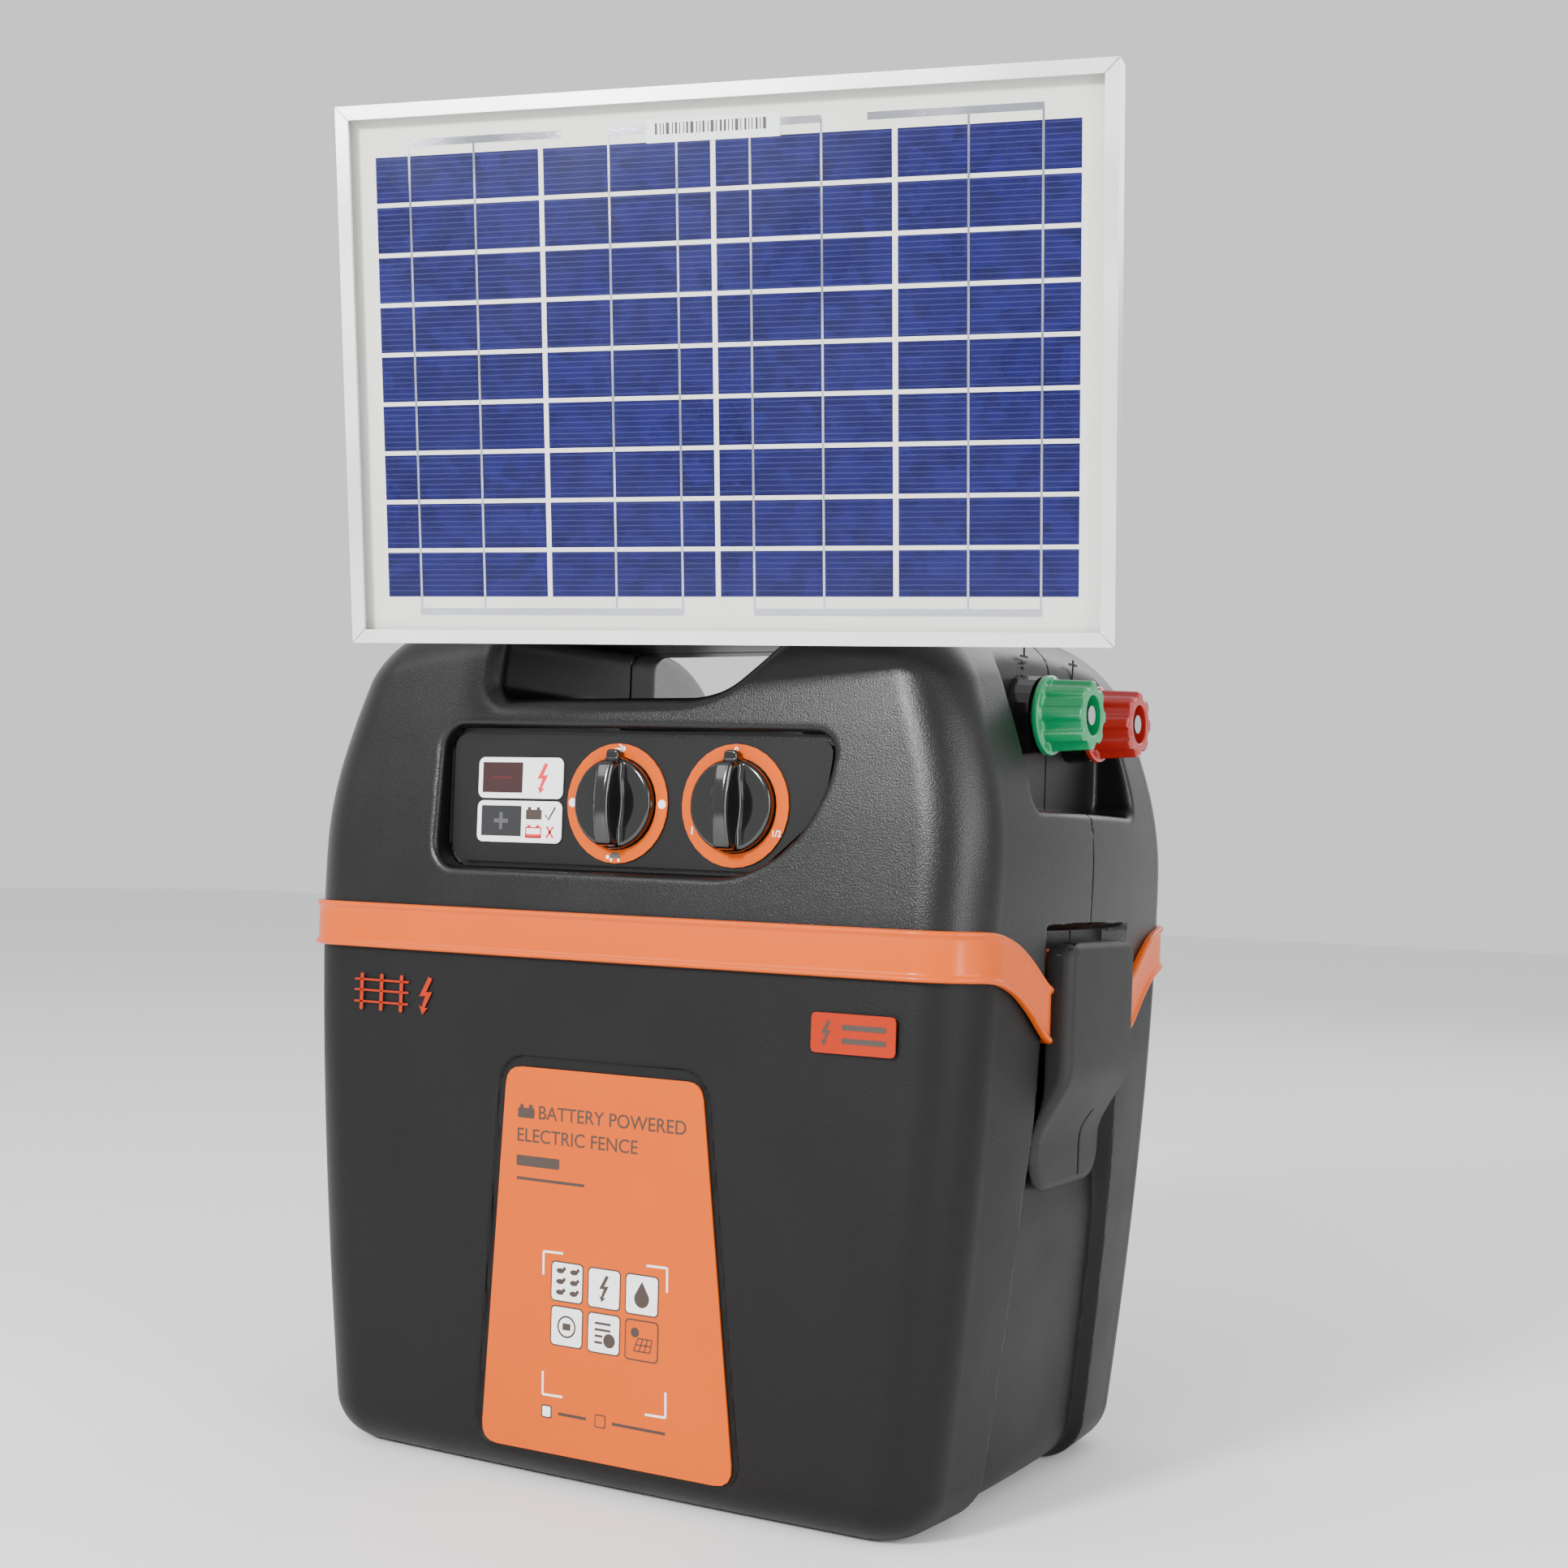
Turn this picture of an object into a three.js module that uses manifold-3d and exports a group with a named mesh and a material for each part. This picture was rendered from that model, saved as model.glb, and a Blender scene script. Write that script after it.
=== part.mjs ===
// Portable battery fence energizer with a solar panel on an adjustable bracket.
// Units mm. Origin: centre of the tub's flat bottom. +X right, -Y front, +Z up.
import * as THREE from 'three';
import Module from 'manifold-3d';
import { mergeVertices } from 'three/addons/utils/BufferGeometryUtils.js';

const wasm = await Module();
wasm.setup();

// ---------- driving dimensions ----------
const GAP = 0.3;                 // air between pieces that touch
const WALL = 3;                  // housing wall
const TUB = { base: 146.3, top: 165, half: 109.6, halfTop: 112.35, rimZ: 237.3, power: 1.584 };
const TUB_WALL = 3.5;
const CORNER_R = 27;             // vertical corners
const BASE_FILLET = 20;          // tub's lower edge
const SPLIT_Z = 222;             // where lid meets tub, front and back
const BAND = { top: 237, bottom: 217.3, proud: 2.4, inner: 165.2, innerHalf: 112.7 };
const RECESS = { deep: 9, shallow: 5.5 };
const LATCH = { half: 36.5, pivotX: 169, pivotZ: 226, face: 176.5, tabFace: 162 };
const PANEL = { w: 308, h: 211, t: 16, rail: 12, yaw: 0.2485, tilt: 0.1607 };
const PANEL_AT = new THREE.Vector3(68.6, -154.8, 448.2);
const ARM_LEN = 90;              // swivel post to tilt pin
const HINGE_BACK = 30;           // panel face to tilt pin
const DIALS = { mode: -2.3, power: 54.7, z: 282.8, ringR: 25, knobR: 19 };
const PLATE_Y = -100.3;          // back of the control plate
const TERM = { z: 324.5, y: 27, wallX: 146 };
const HANDLE_TOP = 372;

// ---------- solids ----------
const clean = (geo) => {
  geo.deleteAttribute('normal');
  geo.deleteAttribute('uv');
  return mergeVertices(geo, 1e-4);
};

const solid = (geo, matrix) => {
  if (matrix) geo.applyMatrix4(matrix);
  const g = clean(geo);
  return new wasm.Manifold(new wasm.Mesh({
    numProp: 3,
    vertProperties: new Float32Array(g.attributes.position.array),
    triVerts: new Uint32Array(g.index.array),
  }));
};

const move = (x, y, z) => new THREE.Matrix4().makeTranslation(x, y, z);
const box = (x0, x1, y0, y1, z0, z1) => solid(
  new THREE.BoxGeometry(x1 - x0, y1 - y0, z1 - z0),
  move((x0 + x1) / 2, (y0 + y1) / 2, (z0 + z1) / 2));

// Frames that turn an extrusion (shape u,v, depth w) into place.
const XZ = new THREE.Matrix4().makeBasis(
  new THREE.Vector3(1, 0, 0), new THREE.Vector3(0, 0, 1), new THREE.Vector3(0, -1, 0));
const YZ = new THREE.Matrix4().makeBasis(
  new THREE.Vector3(0, 1, 0), new THREE.Vector3(0, 0, 1), new THREE.Vector3(1, 0, 0));

// Polygon with rounded corners: points are [u, v, radius].
const rounded = (points, steps = 4) => {
  const out = [];
  const n = points.length;
  for (let i = 0; i < n; i += 1) {
    const [x, y, r = 0] = points[i];
    const p = new THREE.Vector2(x, y);
    if (r === 0) {
      out.push(p);
      continue;
    }
    const a = new THREE.Vector2(...points[(i + n - 1) % n].slice(0, 2)).sub(p);
    const b = new THREE.Vector2(...points[(i + 1) % n].slice(0, 2)).sub(p);
    const half = Math.acos(a.clone().normalize().dot(b.clone().normalize())) / 2;
    const cut = Math.min(r / Math.tan(half), a.length() * 0.49, b.length() * 0.49);
    const start = p.clone().add(a.normalize().multiplyScalar(cut));
    const end = p.clone().add(b.normalize().multiplyScalar(cut));
    for (let k = 0; k <= steps; k += 1) {
      const t = k / steps;
      const q = start.clone().multiplyScalar((1 - t) ** 2);
      q.addScaledVector(p, 2 * t * (1 - t));
      q.addScaledVector(end, t * t);
      out.push(q);
    }
  }
  return out;
};

const extrude = (points, depth, steps) => new THREE.ExtrudeGeometry(
  new THREE.Shape(rounded(points, steps)), { depth, bevelEnabled: false, curveSegments: 6 });
const prismXY = (points, z0, z1, steps) => solid(extrude(points, z1 - z0, steps), move(0, 0, z0));
const prismXZ = (points, y0, y1, steps) => solid(
  extrude(points, y1 - y0, steps), move(0, y1, 0).multiply(XZ));
const prismYZ = (points, x0, x1, steps) => solid(
  extrude(points, x1 - x0, steps), move(x0, 0, 0).multiply(YZ));

// Turned piece: profile [radius, height] about +Z, then laid along an axis.
const AXIS = {
  z: new THREE.Matrix4(),
  x: new THREE.Matrix4().makeRotationY(Math.PI / 2),
  front: new THREE.Matrix4().makeRotationX(Math.PI / 2),
};
const turned = (profile, seg, axis, x, y, z) => {
  const points = profile.map(([r, h]) => new THREE.Vector2(r, h));
  const geo = new THREE.LatheGeometry(points, seg);
  geo.rotateX(Math.PI / 2);
  return solid(geo, move(x, y, z).multiply(AXIS[axis]));
};
const rod = (r, len, seg, axis, x, y, z) => turned([[0, 0], [r, 0], [r, len], [0, len]], seg, axis, x, y, z);
const alongY = (r, y0, y1, seg, x, z) => rod(r, y1 - y0, seg, 'front', x, y1, z);

// Plan outline: rounded rectangle with bowed sides and an optional recess in each side.
const recessAt = (y, rec) => {
  const t = Math.abs(y);
  if (t >= rec.mouth - 1e-6) return 0;
  if (t >= rec.knee - 1e-6) return rec.depth * 0.24 * (rec.mouth - t) / (rec.mouth - rec.knee);
  return rec.depth;
};

const outline = (a, b, r, bowSide, bowFront, rec) => {
  const pts = [];
  const sideX = (y) => a + bowSide * Math.max(0, 1 - (y / (b - r)) ** 2) - recessAt(y, rec);
  const frontY = (x) => b + bowFront * Math.max(0, 1 - (x / (a - r)) ** 2);
  const ys = [-(rec.mouth), -rec.knee, -rec.floor, 0, rec.floor, rec.knee, rec.mouth];
  const xs = [0.5, 0, -0.5].map((f) => f * (a - r));
  const corner = (cx, cy, from) => {
    for (let k = 0; k <= 4; k += 1) {
      const t = from + (k / 4) * Math.PI / 2;
      pts.push([cx + r * Math.cos(t), cy + r * Math.sin(t)]);
    }
  };
  ys.forEach((y) => pts.push([sideX(y), y]));
  corner(a - r, b - r, 0);
  xs.forEach((x) => pts.push([x, frontY(x)]));
  corner(-(a - r), b - r, Math.PI / 2);
  ys.slice().reverse().forEach((y) => pts.push([-sideX(y), y]));
  corner(-(a - r), -(b - r), Math.PI);
  xs.slice().reverse().forEach((x) => pts.push([x, -frontY(x)]));
  corner(a - r, -(b - r), -Math.PI / 2);
  return pts;
};

// Skin through a stack of outlines that share one point count.
const loft = (levels) => {
  const n = levels[0].pts.length;
  const pos = [];
  levels.forEach(({ z, pts }) => pts.forEach(([x, y]) => pos.push(x, y, z)));
  pos.push(0, 0, levels[0].z, 0, 0, levels[levels.length - 1].z);
  const index = [];
  const last = (levels.length - 1) * n;
  for (let j = 0; j < n; j += 1) {
    const k = (j + 1) % n;
    for (let i = 0; i < levels.length - 1; i += 1) {
      const lo = i * n;
      const hi = lo + n;
      index.push(lo + j, lo + k, hi + k, lo + j, hi + k, hi + j);
    }
    index.push(levels.length * n, k, j);
    index.push(levels.length * n + 1, last + j, last + k);
  }
  const geo = new THREE.BufferGeometry();
  geo.setAttribute('position', new THREE.Float32BufferAttribute(pos, 3));
  geo.setIndex(index);
  return new wasm.Manifold(new wasm.Mesh({
    numProp: 3,
    vertProperties: new Float32Array(pos),
    triVerts: new Uint32Array(index),
  }));
};

// ---------- named pieces ----------
const group = new THREE.Group();
group.name = 'fence_energizer';
const LOOK = {
  tubPlastic: [0x222021, 0.55, 0],
  lidPlastic: [0x171616, 0.38, 0],
  orange: [0xea5f16, 0.3, 0],
  labelOrange: [0xeb661b, 0.35, 0],
  badgeRed: [0xc83a22, 0.4, 0],
  rubber: [0x373333, 0.75, 0],
  gloss: [0x060606, 0.15, 0],
  plate: [0x242222, 0.6, 0],
  white: [0xeeeeee, 0.5, 0],
  lens: [0x1c0607, 0.12, 0],
  green: [0x1d9a5c, 0.35, 0],
  red: [0xa8322c, 0.35, 0],
  steel: [0xb9bbbd, 0.3, 1],
  alu: [0xd9d9d8, 0.35, 1],
  cells: [0x1a1f5c, 0.15, 0],
  glass: [0xdfe8ee, 0.05, 0],
  battery: [0x4a4d52, 0.6, 0],
  board: [0x1f5a34, 0.6, 0],
  can: [0x20252d, 0.4, 0],
  lead: [0x8d8f92, 0.45, 1],
  inside: [0x1b1b1d, 0.6, 0],
  redPost: [0xb52a22, 0.5, 0],
};

const add = (name, look, body) => {
  const mesh = body.getMesh();
  const geo = new THREE.BufferGeometry();
  const src = mesh.vertProperties;
  const pos = new Float32Array(mesh.numVert * 3);
  for (let i = 0; i < mesh.numVert; i += 1) {
    pos.set(src.subarray(i * mesh.numProp, i * mesh.numProp + 3), i * 3);
  }
  geo.setAttribute('position', new THREE.BufferAttribute(pos, 3));
  geo.setIndex(new THREE.BufferAttribute(new Uint32Array(mesh.triVerts), 1));
  geo.computeVertexNormals();
  const [color, roughness, metalness] = LOOK[look];
  const material = new THREE.MeshStandardMaterial({ color, roughness, metalness });
  material.name = look;
  const node = new THREE.Mesh(geo, material);
  node.name = name;
  group.add(node);
};

// ---------- tub ----------
const tubGrow = (z) => 1 - Math.max(0, 1 - z / TUB.rimZ) ** TUB.power;
const filletIn = (z) => (z >= BASE_FILLET ? 0
  : BASE_FILLET - Math.sqrt(BASE_FILLET ** 2 - (BASE_FILLET - z) ** 2));
const mix = (z, stops) => {
  if (z <= stops[0][0]) return stops[0][1];
  for (let i = 1; i < stops.length; i += 1) {
    if (z <= stops[i][0]) {
      const t = (z - stops[i - 1][0]) / (stops[i][0] - stops[i - 1][0]);
      return stops[i - 1][1] + t * (stops[i][1] - stops[i - 1][1]);
    }
  }
  return stops[stops.length - 1][1];
};
const tubRecess = (z, thick) => ({
  depth: mix(z, [[0, RECESS.shallow], [116, RECESS.shallow], [130, 7.6], [160, RECESS.deep]]),
  mouth: mix(z, [[0, 54], [130, 48.5], [160, 45]]) + thick,
  knee: mix(z, [[0, 52.5], [130, 46.5], [160, 39.8]]) + thick,
  floor: mix(z, [[0, 50], [130, 44.5], [160, 38.3]]) + thick,
});
const tubLevel = (z, thick) => {
  const f = filletIn(Math.max(0, z - thick));
  const a = TUB.base + (TUB.top - TUB.base) * tubGrow(z) - thick - f;
  const b = TUB.half + (TUB.halfTop - TUB.half) * tubGrow(z) - thick - f;
  const bow = mix(z, [[0, 3], [TUB.rimZ, 3.5]]);
  return { z, pts: outline(a, b, CORNER_R - thick * 0.6, bow, 1.5, tubRecess(z, thick)) };
};

// Line between tub and lid, seen from the side: it dips at each latch.
const dip = (levelZ) => [
  [-150, levelZ(0)], [-94, levelZ(0)], [-84, levelZ(0.08)], [-74, levelZ(0.22)], [-62, levelZ(0.5)],
  [-52, levelZ(0.8)], [-44.5, levelZ(1)], [-37.9, levelZ(1.05)],
  [37.9, levelZ(1.05)], [44.5, levelZ(1)], [52, levelZ(0.8)], [62, levelZ(0.5)],
  [74, levelZ(0.22)], [84, levelZ(0.08)], [94, levelZ(0)], [150, levelZ(0)],
];
const splitLine = (offset) => dip((f) => SPLIT_Z - 24 * f + offset);
const above = (line) => prismYZ([...line, [150, 500], [-150, 500]], -250, 250);

const outerZ = [0, 1.2, 4, 9, 20, 70, 116, 130, 160, 195, 222.5];
const innerZ = [3.5, 5, 8.5, 13.5, 23.5, 70, 116, 130, 160, 195, 230];
const tubOuter = loft(outerZ.map((z) => tubLevel(z, 0)));
const tubInner = loft(innerZ.map((z) => tubLevel(z, TUB_WALL)));
let tub = tubOuter.subtract(tubInner).subtract(above(splitLine(-0.15)));

// Shallow pocket for the front label, leaning with the wall.
const LABEL = { zMid: 94, floorY: -110.5, lean: 0.0134 };
const labelShape = (grow) => [
  [-54.7 - grow, 15 - grow - LABEL.zMid, 8 + grow], [68.6 + grow, 15.5 - grow - LABEL.zMid, 8 + grow],
  [49.5 + grow, 173.3 + grow - LABEL.zMid, 8 + grow], [-46.7 - grow, 173 + grow - LABEL.zMid, 8 + grow],
];
const labelFrame = new THREE.Matrix4().makeRotationX(LABEL.lean);
const labelPrism = (grow, y0, y1) => solid(
  extrude(labelShape(grow), y1 - y0, 4),
  move(0, 0, LABEL.zMid).multiply(labelFrame).multiply(move(0, y1, 0)).multiply(XZ));
tub = tub.subtract(labelPrism(3, -125, LABEL.floorY));

// Keeper rib under each latch and locating ribs round the battery.
const BATTERY = { x: 100, y: 65, top: 166 };
for (const side of [-1, 1]) {
  const x0 = side > 0 ? 153 : -159.6;
  tub = tub.add(box(x0, x0 + 6.6, -30, 30, 163, 166));
  const rx = side > 0 ? BATTERY.x + GAP : -BATTERY.x - GAP - 3;
  tub = tub.add(box(rx, rx + 3, -40, 40, 2, 22));
  const ry = side > 0 ? BATTERY.y + GAP : -BATTERY.y - GAP - 3;
  tub = tub.add(box(-60, 60, ry, ry + 3, 2, 22));
}
add('tub', 'tubPlastic', tub);
add('front_label', 'labelOrange', labelPrism(0, LABEL.floorY - 1.1, LABEL.floorY - GAP));
add('rating_badge', 'badgeRed', prismXZ(
  [[99, 188, 2], [135.5, 188, 2], [135.5, 203.5, 2], [99, 203.5, 2]], -114.3, -113.7, 2));

let battery = prismXY([
  [-BATTERY.x, -BATTERY.y, 6], [BATTERY.x, -BATTERY.y, 6],
  [BATTERY.x, BATTERY.y, 6], [-BATTERY.x, BATTERY.y, 6]], 3.5 + GAP, BATTERY.top, 3);
battery = battery.add(box(-BATTERY.x + 12, BATTERY.x - 12, -20, 20, BATTERY.top - 2, BATTERY.top + 5));
add('battery', 'battery', battery);
const post = (x) => turned([[0, 0], [9, 0], [9, 3], [7.5, 3], [6.8, 17], [0, 17]], 16, 'z', x, 45, BATTERY.top + GAP);
add('battery_post_pos', 'redPost', post(-78));
add('battery_post_neg', 'lead', post(78));

// ---------- upper housing ----------
const LID_A = [[190, 164.9], [240, 165], [254, 165.6], [266, 165.8], [277, 165.2], [288, 163.6], [300, 161],
  [322, 154], [342, 147], [350, 143], [356, 137], [361, 129], [366, 117], [370, 102], [HANDLE_TOP, 88]];
const LID_B = [[190, 112.3], [240, 112], [280, 109.5], [316, 106.5], [342, 103.5], [350, 100], [356, 95],
  [361, 88], [366, 78], [370, 66], [HANDLE_TOP, 56]];
const lidRecess = (z, thick) => ({
  depth: mix(z, [[190, RECESS.deep], [237, RECESS.deep], [246, 0]]),
  mouth: 45 + thick,
  knee: 39.8 + thick,
  floor: 38.3 + thick,
});
const lidLevel = (z, thick) => {
  const zz = z + mix(z, [[300, 0], [HANDLE_TOP - WALL, thick]]);
  const a = mix(zz, LID_A) - thick;
  const b = mix(zz, LID_B) - thick;
  return { z, pts: outline(a, b, Math.min(CORNER_R, b - 50) - thick * 0.6, 3.5, 1.2, lidRecess(z, thick)) };
};
const lidZ = [190, 237, 246, 266, 280, 300, 322, 342, 350, 356, 361, 366, 370, HANDLE_TOP];
const lidInZ = [180, 237, 246, 266, 280, 300, 322, 342, 350, 356, 361, 366, 369];
const HOLE = [[-66, 327, 9], [44, 327, 12], [62, 338, 8], [79, 356, 4], [-66, 356, 6]];
const HOLE_WALL = [[-69, 324, 10], [45.5, 324, 12], [64, 335, 8], [85, 359, 3], [-69, 359, 6]];
// Behind the grip the hole is open to the top, between two shoulders.
const NOTCH = { y: 26, shape: [[-76, 327, 10], [44, 327, 12], [62, 338, 8], [100, 380, 0], [-104, 380, 0]] };
const NOTCH_WALL = [[-80, 324, 10], [45.5, 324, 12], [64, 335, 8], [104, 378, 0], [-108, 378, 0]];
const CTRL = [[-91, 254, 12], [68, 253.5, 14], [98, 280, 16], [103, 312.5, 8], [-91, 315.5, 9]];
const CTRL_BACK = [[-94, 251, 12], [70, 250.5, 14], [101, 279, 16], [106, 315.5, 8], [-94, 318.5, 9]];
const POCKET = { y: 56, floor: 285 };

const lidOuter = loft(lidZ.map((z) => lidLevel(z, 0)));
let cavity = loft(lidInZ.map((z) => lidLevel(z, WALL)));
cavity = cavity.subtract(prismXZ(HOLE_WALL, -130, 130, 3));
cavity = cavity.subtract(prismXZ(NOTCH_WALL, NOTCH.y - WALL, 130, 3));
cavity = cavity.subtract(prismXZ(CTRL_BACK, -130, -97, 3));
const pocketShape = (grow) => [
  [-POCKET.y - grow, POCKET.floor - grow, 7], [POCKET.y + grow, POCKET.floor - grow, 7],
  [POCKET.y + grow, 360, 0], [-POCKET.y - grow, 360, 0]];
cavity = cavity.subtract(prismYZ(pocketShape(WALL), TERM.wallX - WALL, 200, 3));
let housing = lidOuter.subtract(cavity);
housing = housing.intersect(above(splitLine(0.15)));
for (const sx of [-1, 1]) {
  for (const sy of [-1, 1]) {
    const boss = rod(7, 30, 12, 'z', sx * 118, sy * 101.5, 229 + GAP);
    housing = housing.add(boss.intersect(lidOuter));
    housing = housing.subtract(rod(2.1, 14, 8, 'z', sx * 118, sy * 101.5, 229));
  }
}
housing = housing.subtract(prismXZ(HOLE, -140, 140, 3));
housing = housing.subtract(prismXZ(NOTCH.shape, NOTCH.y, 140, 3));
housing = housing.subtract(prismXZ(CTRL, -140, -100, 3));
housing = housing.subtract(prismYZ(pocketShape(0), TERM.wallX, 200, 3));
for (const x of [DIALS.mode, DIALS.power]) {
  housing = housing.subtract(alongY(3.6, -102, -90, 12, x, DIALS.z));
}
for (const sy of [-1, 1]) {
  housing = housing.subtract(rod(4.4, 12, 12, 'x', 140, sy * TERM.y, TERM.z));
}

// Flat seat and screw holes for the panel bracket on the handle.
const mastAt = new THREE.Vector2(0, 0);
const facing = new THREE.Vector3(Math.sin(PANEL.yaw), -Math.cos(PANEL.yaw), 0);
const faceN = facing.clone().multiplyScalar(Math.cos(PANEL.tilt)).setZ(-Math.sin(PANEL.tilt));
const pin = PANEL_AT.clone().addScaledVector(faceN, -HINGE_BACK);
mastAt.set(pin.x - facing.x * ARM_LEN, pin.y - facing.y * ARM_LEN);
const bracketHoles = [-30, 30].map((dx) => [mastAt.x + dx, mastAt.y + 22]);
bracketHoles.forEach(([x, y]) => {
  housing = housing.subtract(rod(2.1, 10, 8, 'z', x, y, HANDLE_TOP - 9));
});

// Solar lead socket hole in the back wall.
const SOCKET = { x: -70, z: 268 };
housing = housing.subtract(alongY(6.4, 95, 130, 12, SOCKET.x, SOCKET.z));

add('housing_front', 'lidPlastic', housing.intersect(box(-250, 250, -200, -0.15, 150, 400)));
add('housing_rear', 'lidPlastic', housing.intersect(box(-250, 250, 0.15, 200, 150, 400)));

// ---------- orange band ----------
const bandRing = (z, out) => ({
  z,
  pts: outline(BAND.inner + out, BAND.innerHalf + out, CORNER_R + out * 0.6 + 0.2, 3.5, 1.5,
    { depth: RECESS.deep, mouth: 45 - out * 0.3, knee: 39.8 - out * 0.3, floor: 38.3 - out * 0.3 }),
});
const bandOuter = loft([bandRing(180, BAND.proud), bandRing(240, BAND.proud)]);
const bandInner = loft([bandRing(170, 0), bandRing(250, 0)]);
const bandTop = dip((f) => (f > 1.01 ? 235 : BAND.top - 23 * f));
const bandLow = dip((f) => BAND.bottom - 26 * f);
let band = bandOuter.subtract(bandInner);
band = band.intersect(prismYZ([...bandLow, ...bandTop.slice().reverse()], -250, 250));
for (const side of [-1, 1]) {
  for (const y of [-30, 25]) {
    const ear = rounded([[160.5, 217, 0], [172.2, 221.5, 3], [172.2, 229, 3], [160.5, 227.2, 0]], 3);
    const pts = ear.map((p) => [side * p.x, p.y]);
    if (side < 0) pts.reverse();
    band = band.add(prismXZ(pts, y, y + 5));
  }
  band = band.subtract(alongY(1.8, -31, 31, 10, side * LATCH.pivotX, LATCH.pivotZ));
}
add('band_ring', 'orange', band);

// ---------- latches ----------
for (const [side, name] of [[1, 'right'], [-1, 'left']]) {
  const place = (points) => {
    const pts = rounded(points, 3).map((p) => [side * p.x, p.y]);
    if (side < 0) pts.reverse();
    return pts;
  };
  const { half, pivotX, pivotZ, face, tabFace } = LATCH;
  const skin = [
    [163.8, 226, 0], [164.2, 229.5, 0], [167, 232, 0], [face, 232, 4], [face, 176, 16],
    [tabFace + 0.3, 152, 12], [tabFace, 129, 3], [tabFace - 3.4, 129, 1.6],
    [tabFace - 3.4, 153.5, 12], [164, 170, 4],
  ];
  let latch = prismXZ(place(skin), -half, half);
  const hollow = [[160, 229.8, 0], [face - 3.7, 229.8, 0], [face - 3.7, 177, 14], [164, 166, 0], [160, 166, 0]];
  latch = latch.subtract(prismXZ(place(hollow), -half + 3, half - 3));
  // Slots in the top wall that pass round the two hinge ears as the latch opens.
  const slot = place([[160, 226, 0], [face - 3.7, 226, 0], [face - 3.7, 234, 0], [160, 234, 0]]);
  for (const y of [-30.6, 24.4]) {
    latch = latch.subtract(prismXZ(slot, y, y + 6.2));
  }
  const tooth = [[157.4, 158.2, 0], [163, 156, 0], [163, 162.4, 0], [157.4, 162.4, 0]];
  latch = latch.add(prismXZ(place(tooth), -24, 24));
  latch = latch.intersect(prismYZ([[-half, 129, 15], [half, 129, 15], [half, 232, 5], [-half, 232, 5]],
    -200, 200, 4));
  latch = latch.subtract(alongY(1.8, -half - 1, half + 1, 10, side * pivotX, pivotZ));
  add(`latch_${name}`, 'rubber', latch);
  add(`latch_pin_${name}`, 'steel', alongY(1.5, -half + 0.5, half - 0.5, 10, side * pivotX, pivotZ));
}

// ---------- inside the lid ----------
let floorPlate = prismXY([[-150, -106.5, 12], [150, -106.5, 12], [150, 106.5, 12], [-150, 106.5, 12]], 226, 229, 3);
const screwAt = [];
for (const sx of [-1, 1]) {
  for (const sy of [-1, 1]) {
    screwAt.push([sx * 118, sy * 101.5]);
    floorPlate = floorPlate.subtract(rod(2.3, 8, 8, 'z', sx * 118, sy * 101.5, 222));
  }
}
floorPlate = floorPlate.subtract(box(60, 84, -13, 13, 220, 232));
add('module_floor', 'inside', floorPlate);
screwAt.forEach(([x, y], i) => {
  add(`floor_screw_${i + 1}`, 'steel',
    turned([[0, 0], [4.2, 0], [4.2, 2.4], [1.8, 2.4], [1.8, 16], [0, 16]], 10, 'z', x, y, 226 - GAP - 2.4));
});
let leadSocket = box(60.3, 83.7, -12.7, 12.7, 214, 240);
leadSocket = leadSocket.add(box(57, 87, -16, 16, 229 + GAP, 232));
leadSocket = leadSocket.subtract(box(63, 70.5, -9, 9, 210, 230)).subtract(box(73.5, 81, -9, 9, 210, 230));
add('battery_lead_socket', 'inside', leadSocket);

add('circuit_board', 'board', box(-88, 92, -79.6, -78, 256, 314));
for (const [name, x] of [['mode', DIALS.mode], ['power', DIALS.power]]) {
  let body = box(x - 10, x + 10, -96.7, -79.9, DIALS.z - 10, DIALS.z + 10);
  body = body.subtract(alongY(3.3, -98, -86, 12, x, DIALS.z));
  add(`${name}_switch`, 'can', body);
}
let core = box(-70, 10, 10, 75, 229 + GAP, 285);
core = core.subtract(box(-58, -2, 0, 90, 243, 272));
core = core.add(box(-56, -4, 14, 71, 242, 273));
add('pulse_transformer', 'steel', core);
['a', 'b'].forEach((tag, i) => {
  add(`storage_capacitor_${tag}`, 'can', rod(20, 62, 16, 'z', -112, 30 - i * 50, 229 + GAP));
});

// ---------- control panel ----------
const plateShape = [[-88, 257, 9], [66, 256.5, 13], [95, 281, 15], [99.5, 309, 6], [-88, 312, 7]];
let plate = prismXZ(plateShape, PLATE_Y - 2.2, PLATE_Y, 4);
for (const x of [DIALS.mode, DIALS.power]) {
  plate = plate.subtract(alongY(3.6, -106, -95, 12, x, DIALS.z));
}
add('control_plate', 'plate', plate);
const faceY = PLATE_Y - 2.2 - GAP;
const SIGN = { x0: -74.3, x1: -30, z0: 265.3, z1: 301.6 };
const sign = prismXZ([[SIGN.x0, SIGN.z0, 3], [SIGN.x1, SIGN.z0, 3], [SIGN.x1, SIGN.z1, 3], [SIGN.x0, SIGN.z1, 3]],
  faceY - 0.5, faceY, 3);
const windowAt = [['pulse_lens', 293], ['battery_lens', 274.4]];
let signCut = sign;
windowAt.forEach(([, z]) => {
  signCut = signCut.subtract(box(-72.3, -50.7, -110, -95, z - 6.8, z + 6.8));
});
add('indicator_label', 'white', signCut);
windowAt.forEach(([name, z]) => add(name, 'lens', box(-72, -51, faceY - 0.7, faceY, z - 6.5, z + 6.5)));

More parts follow.
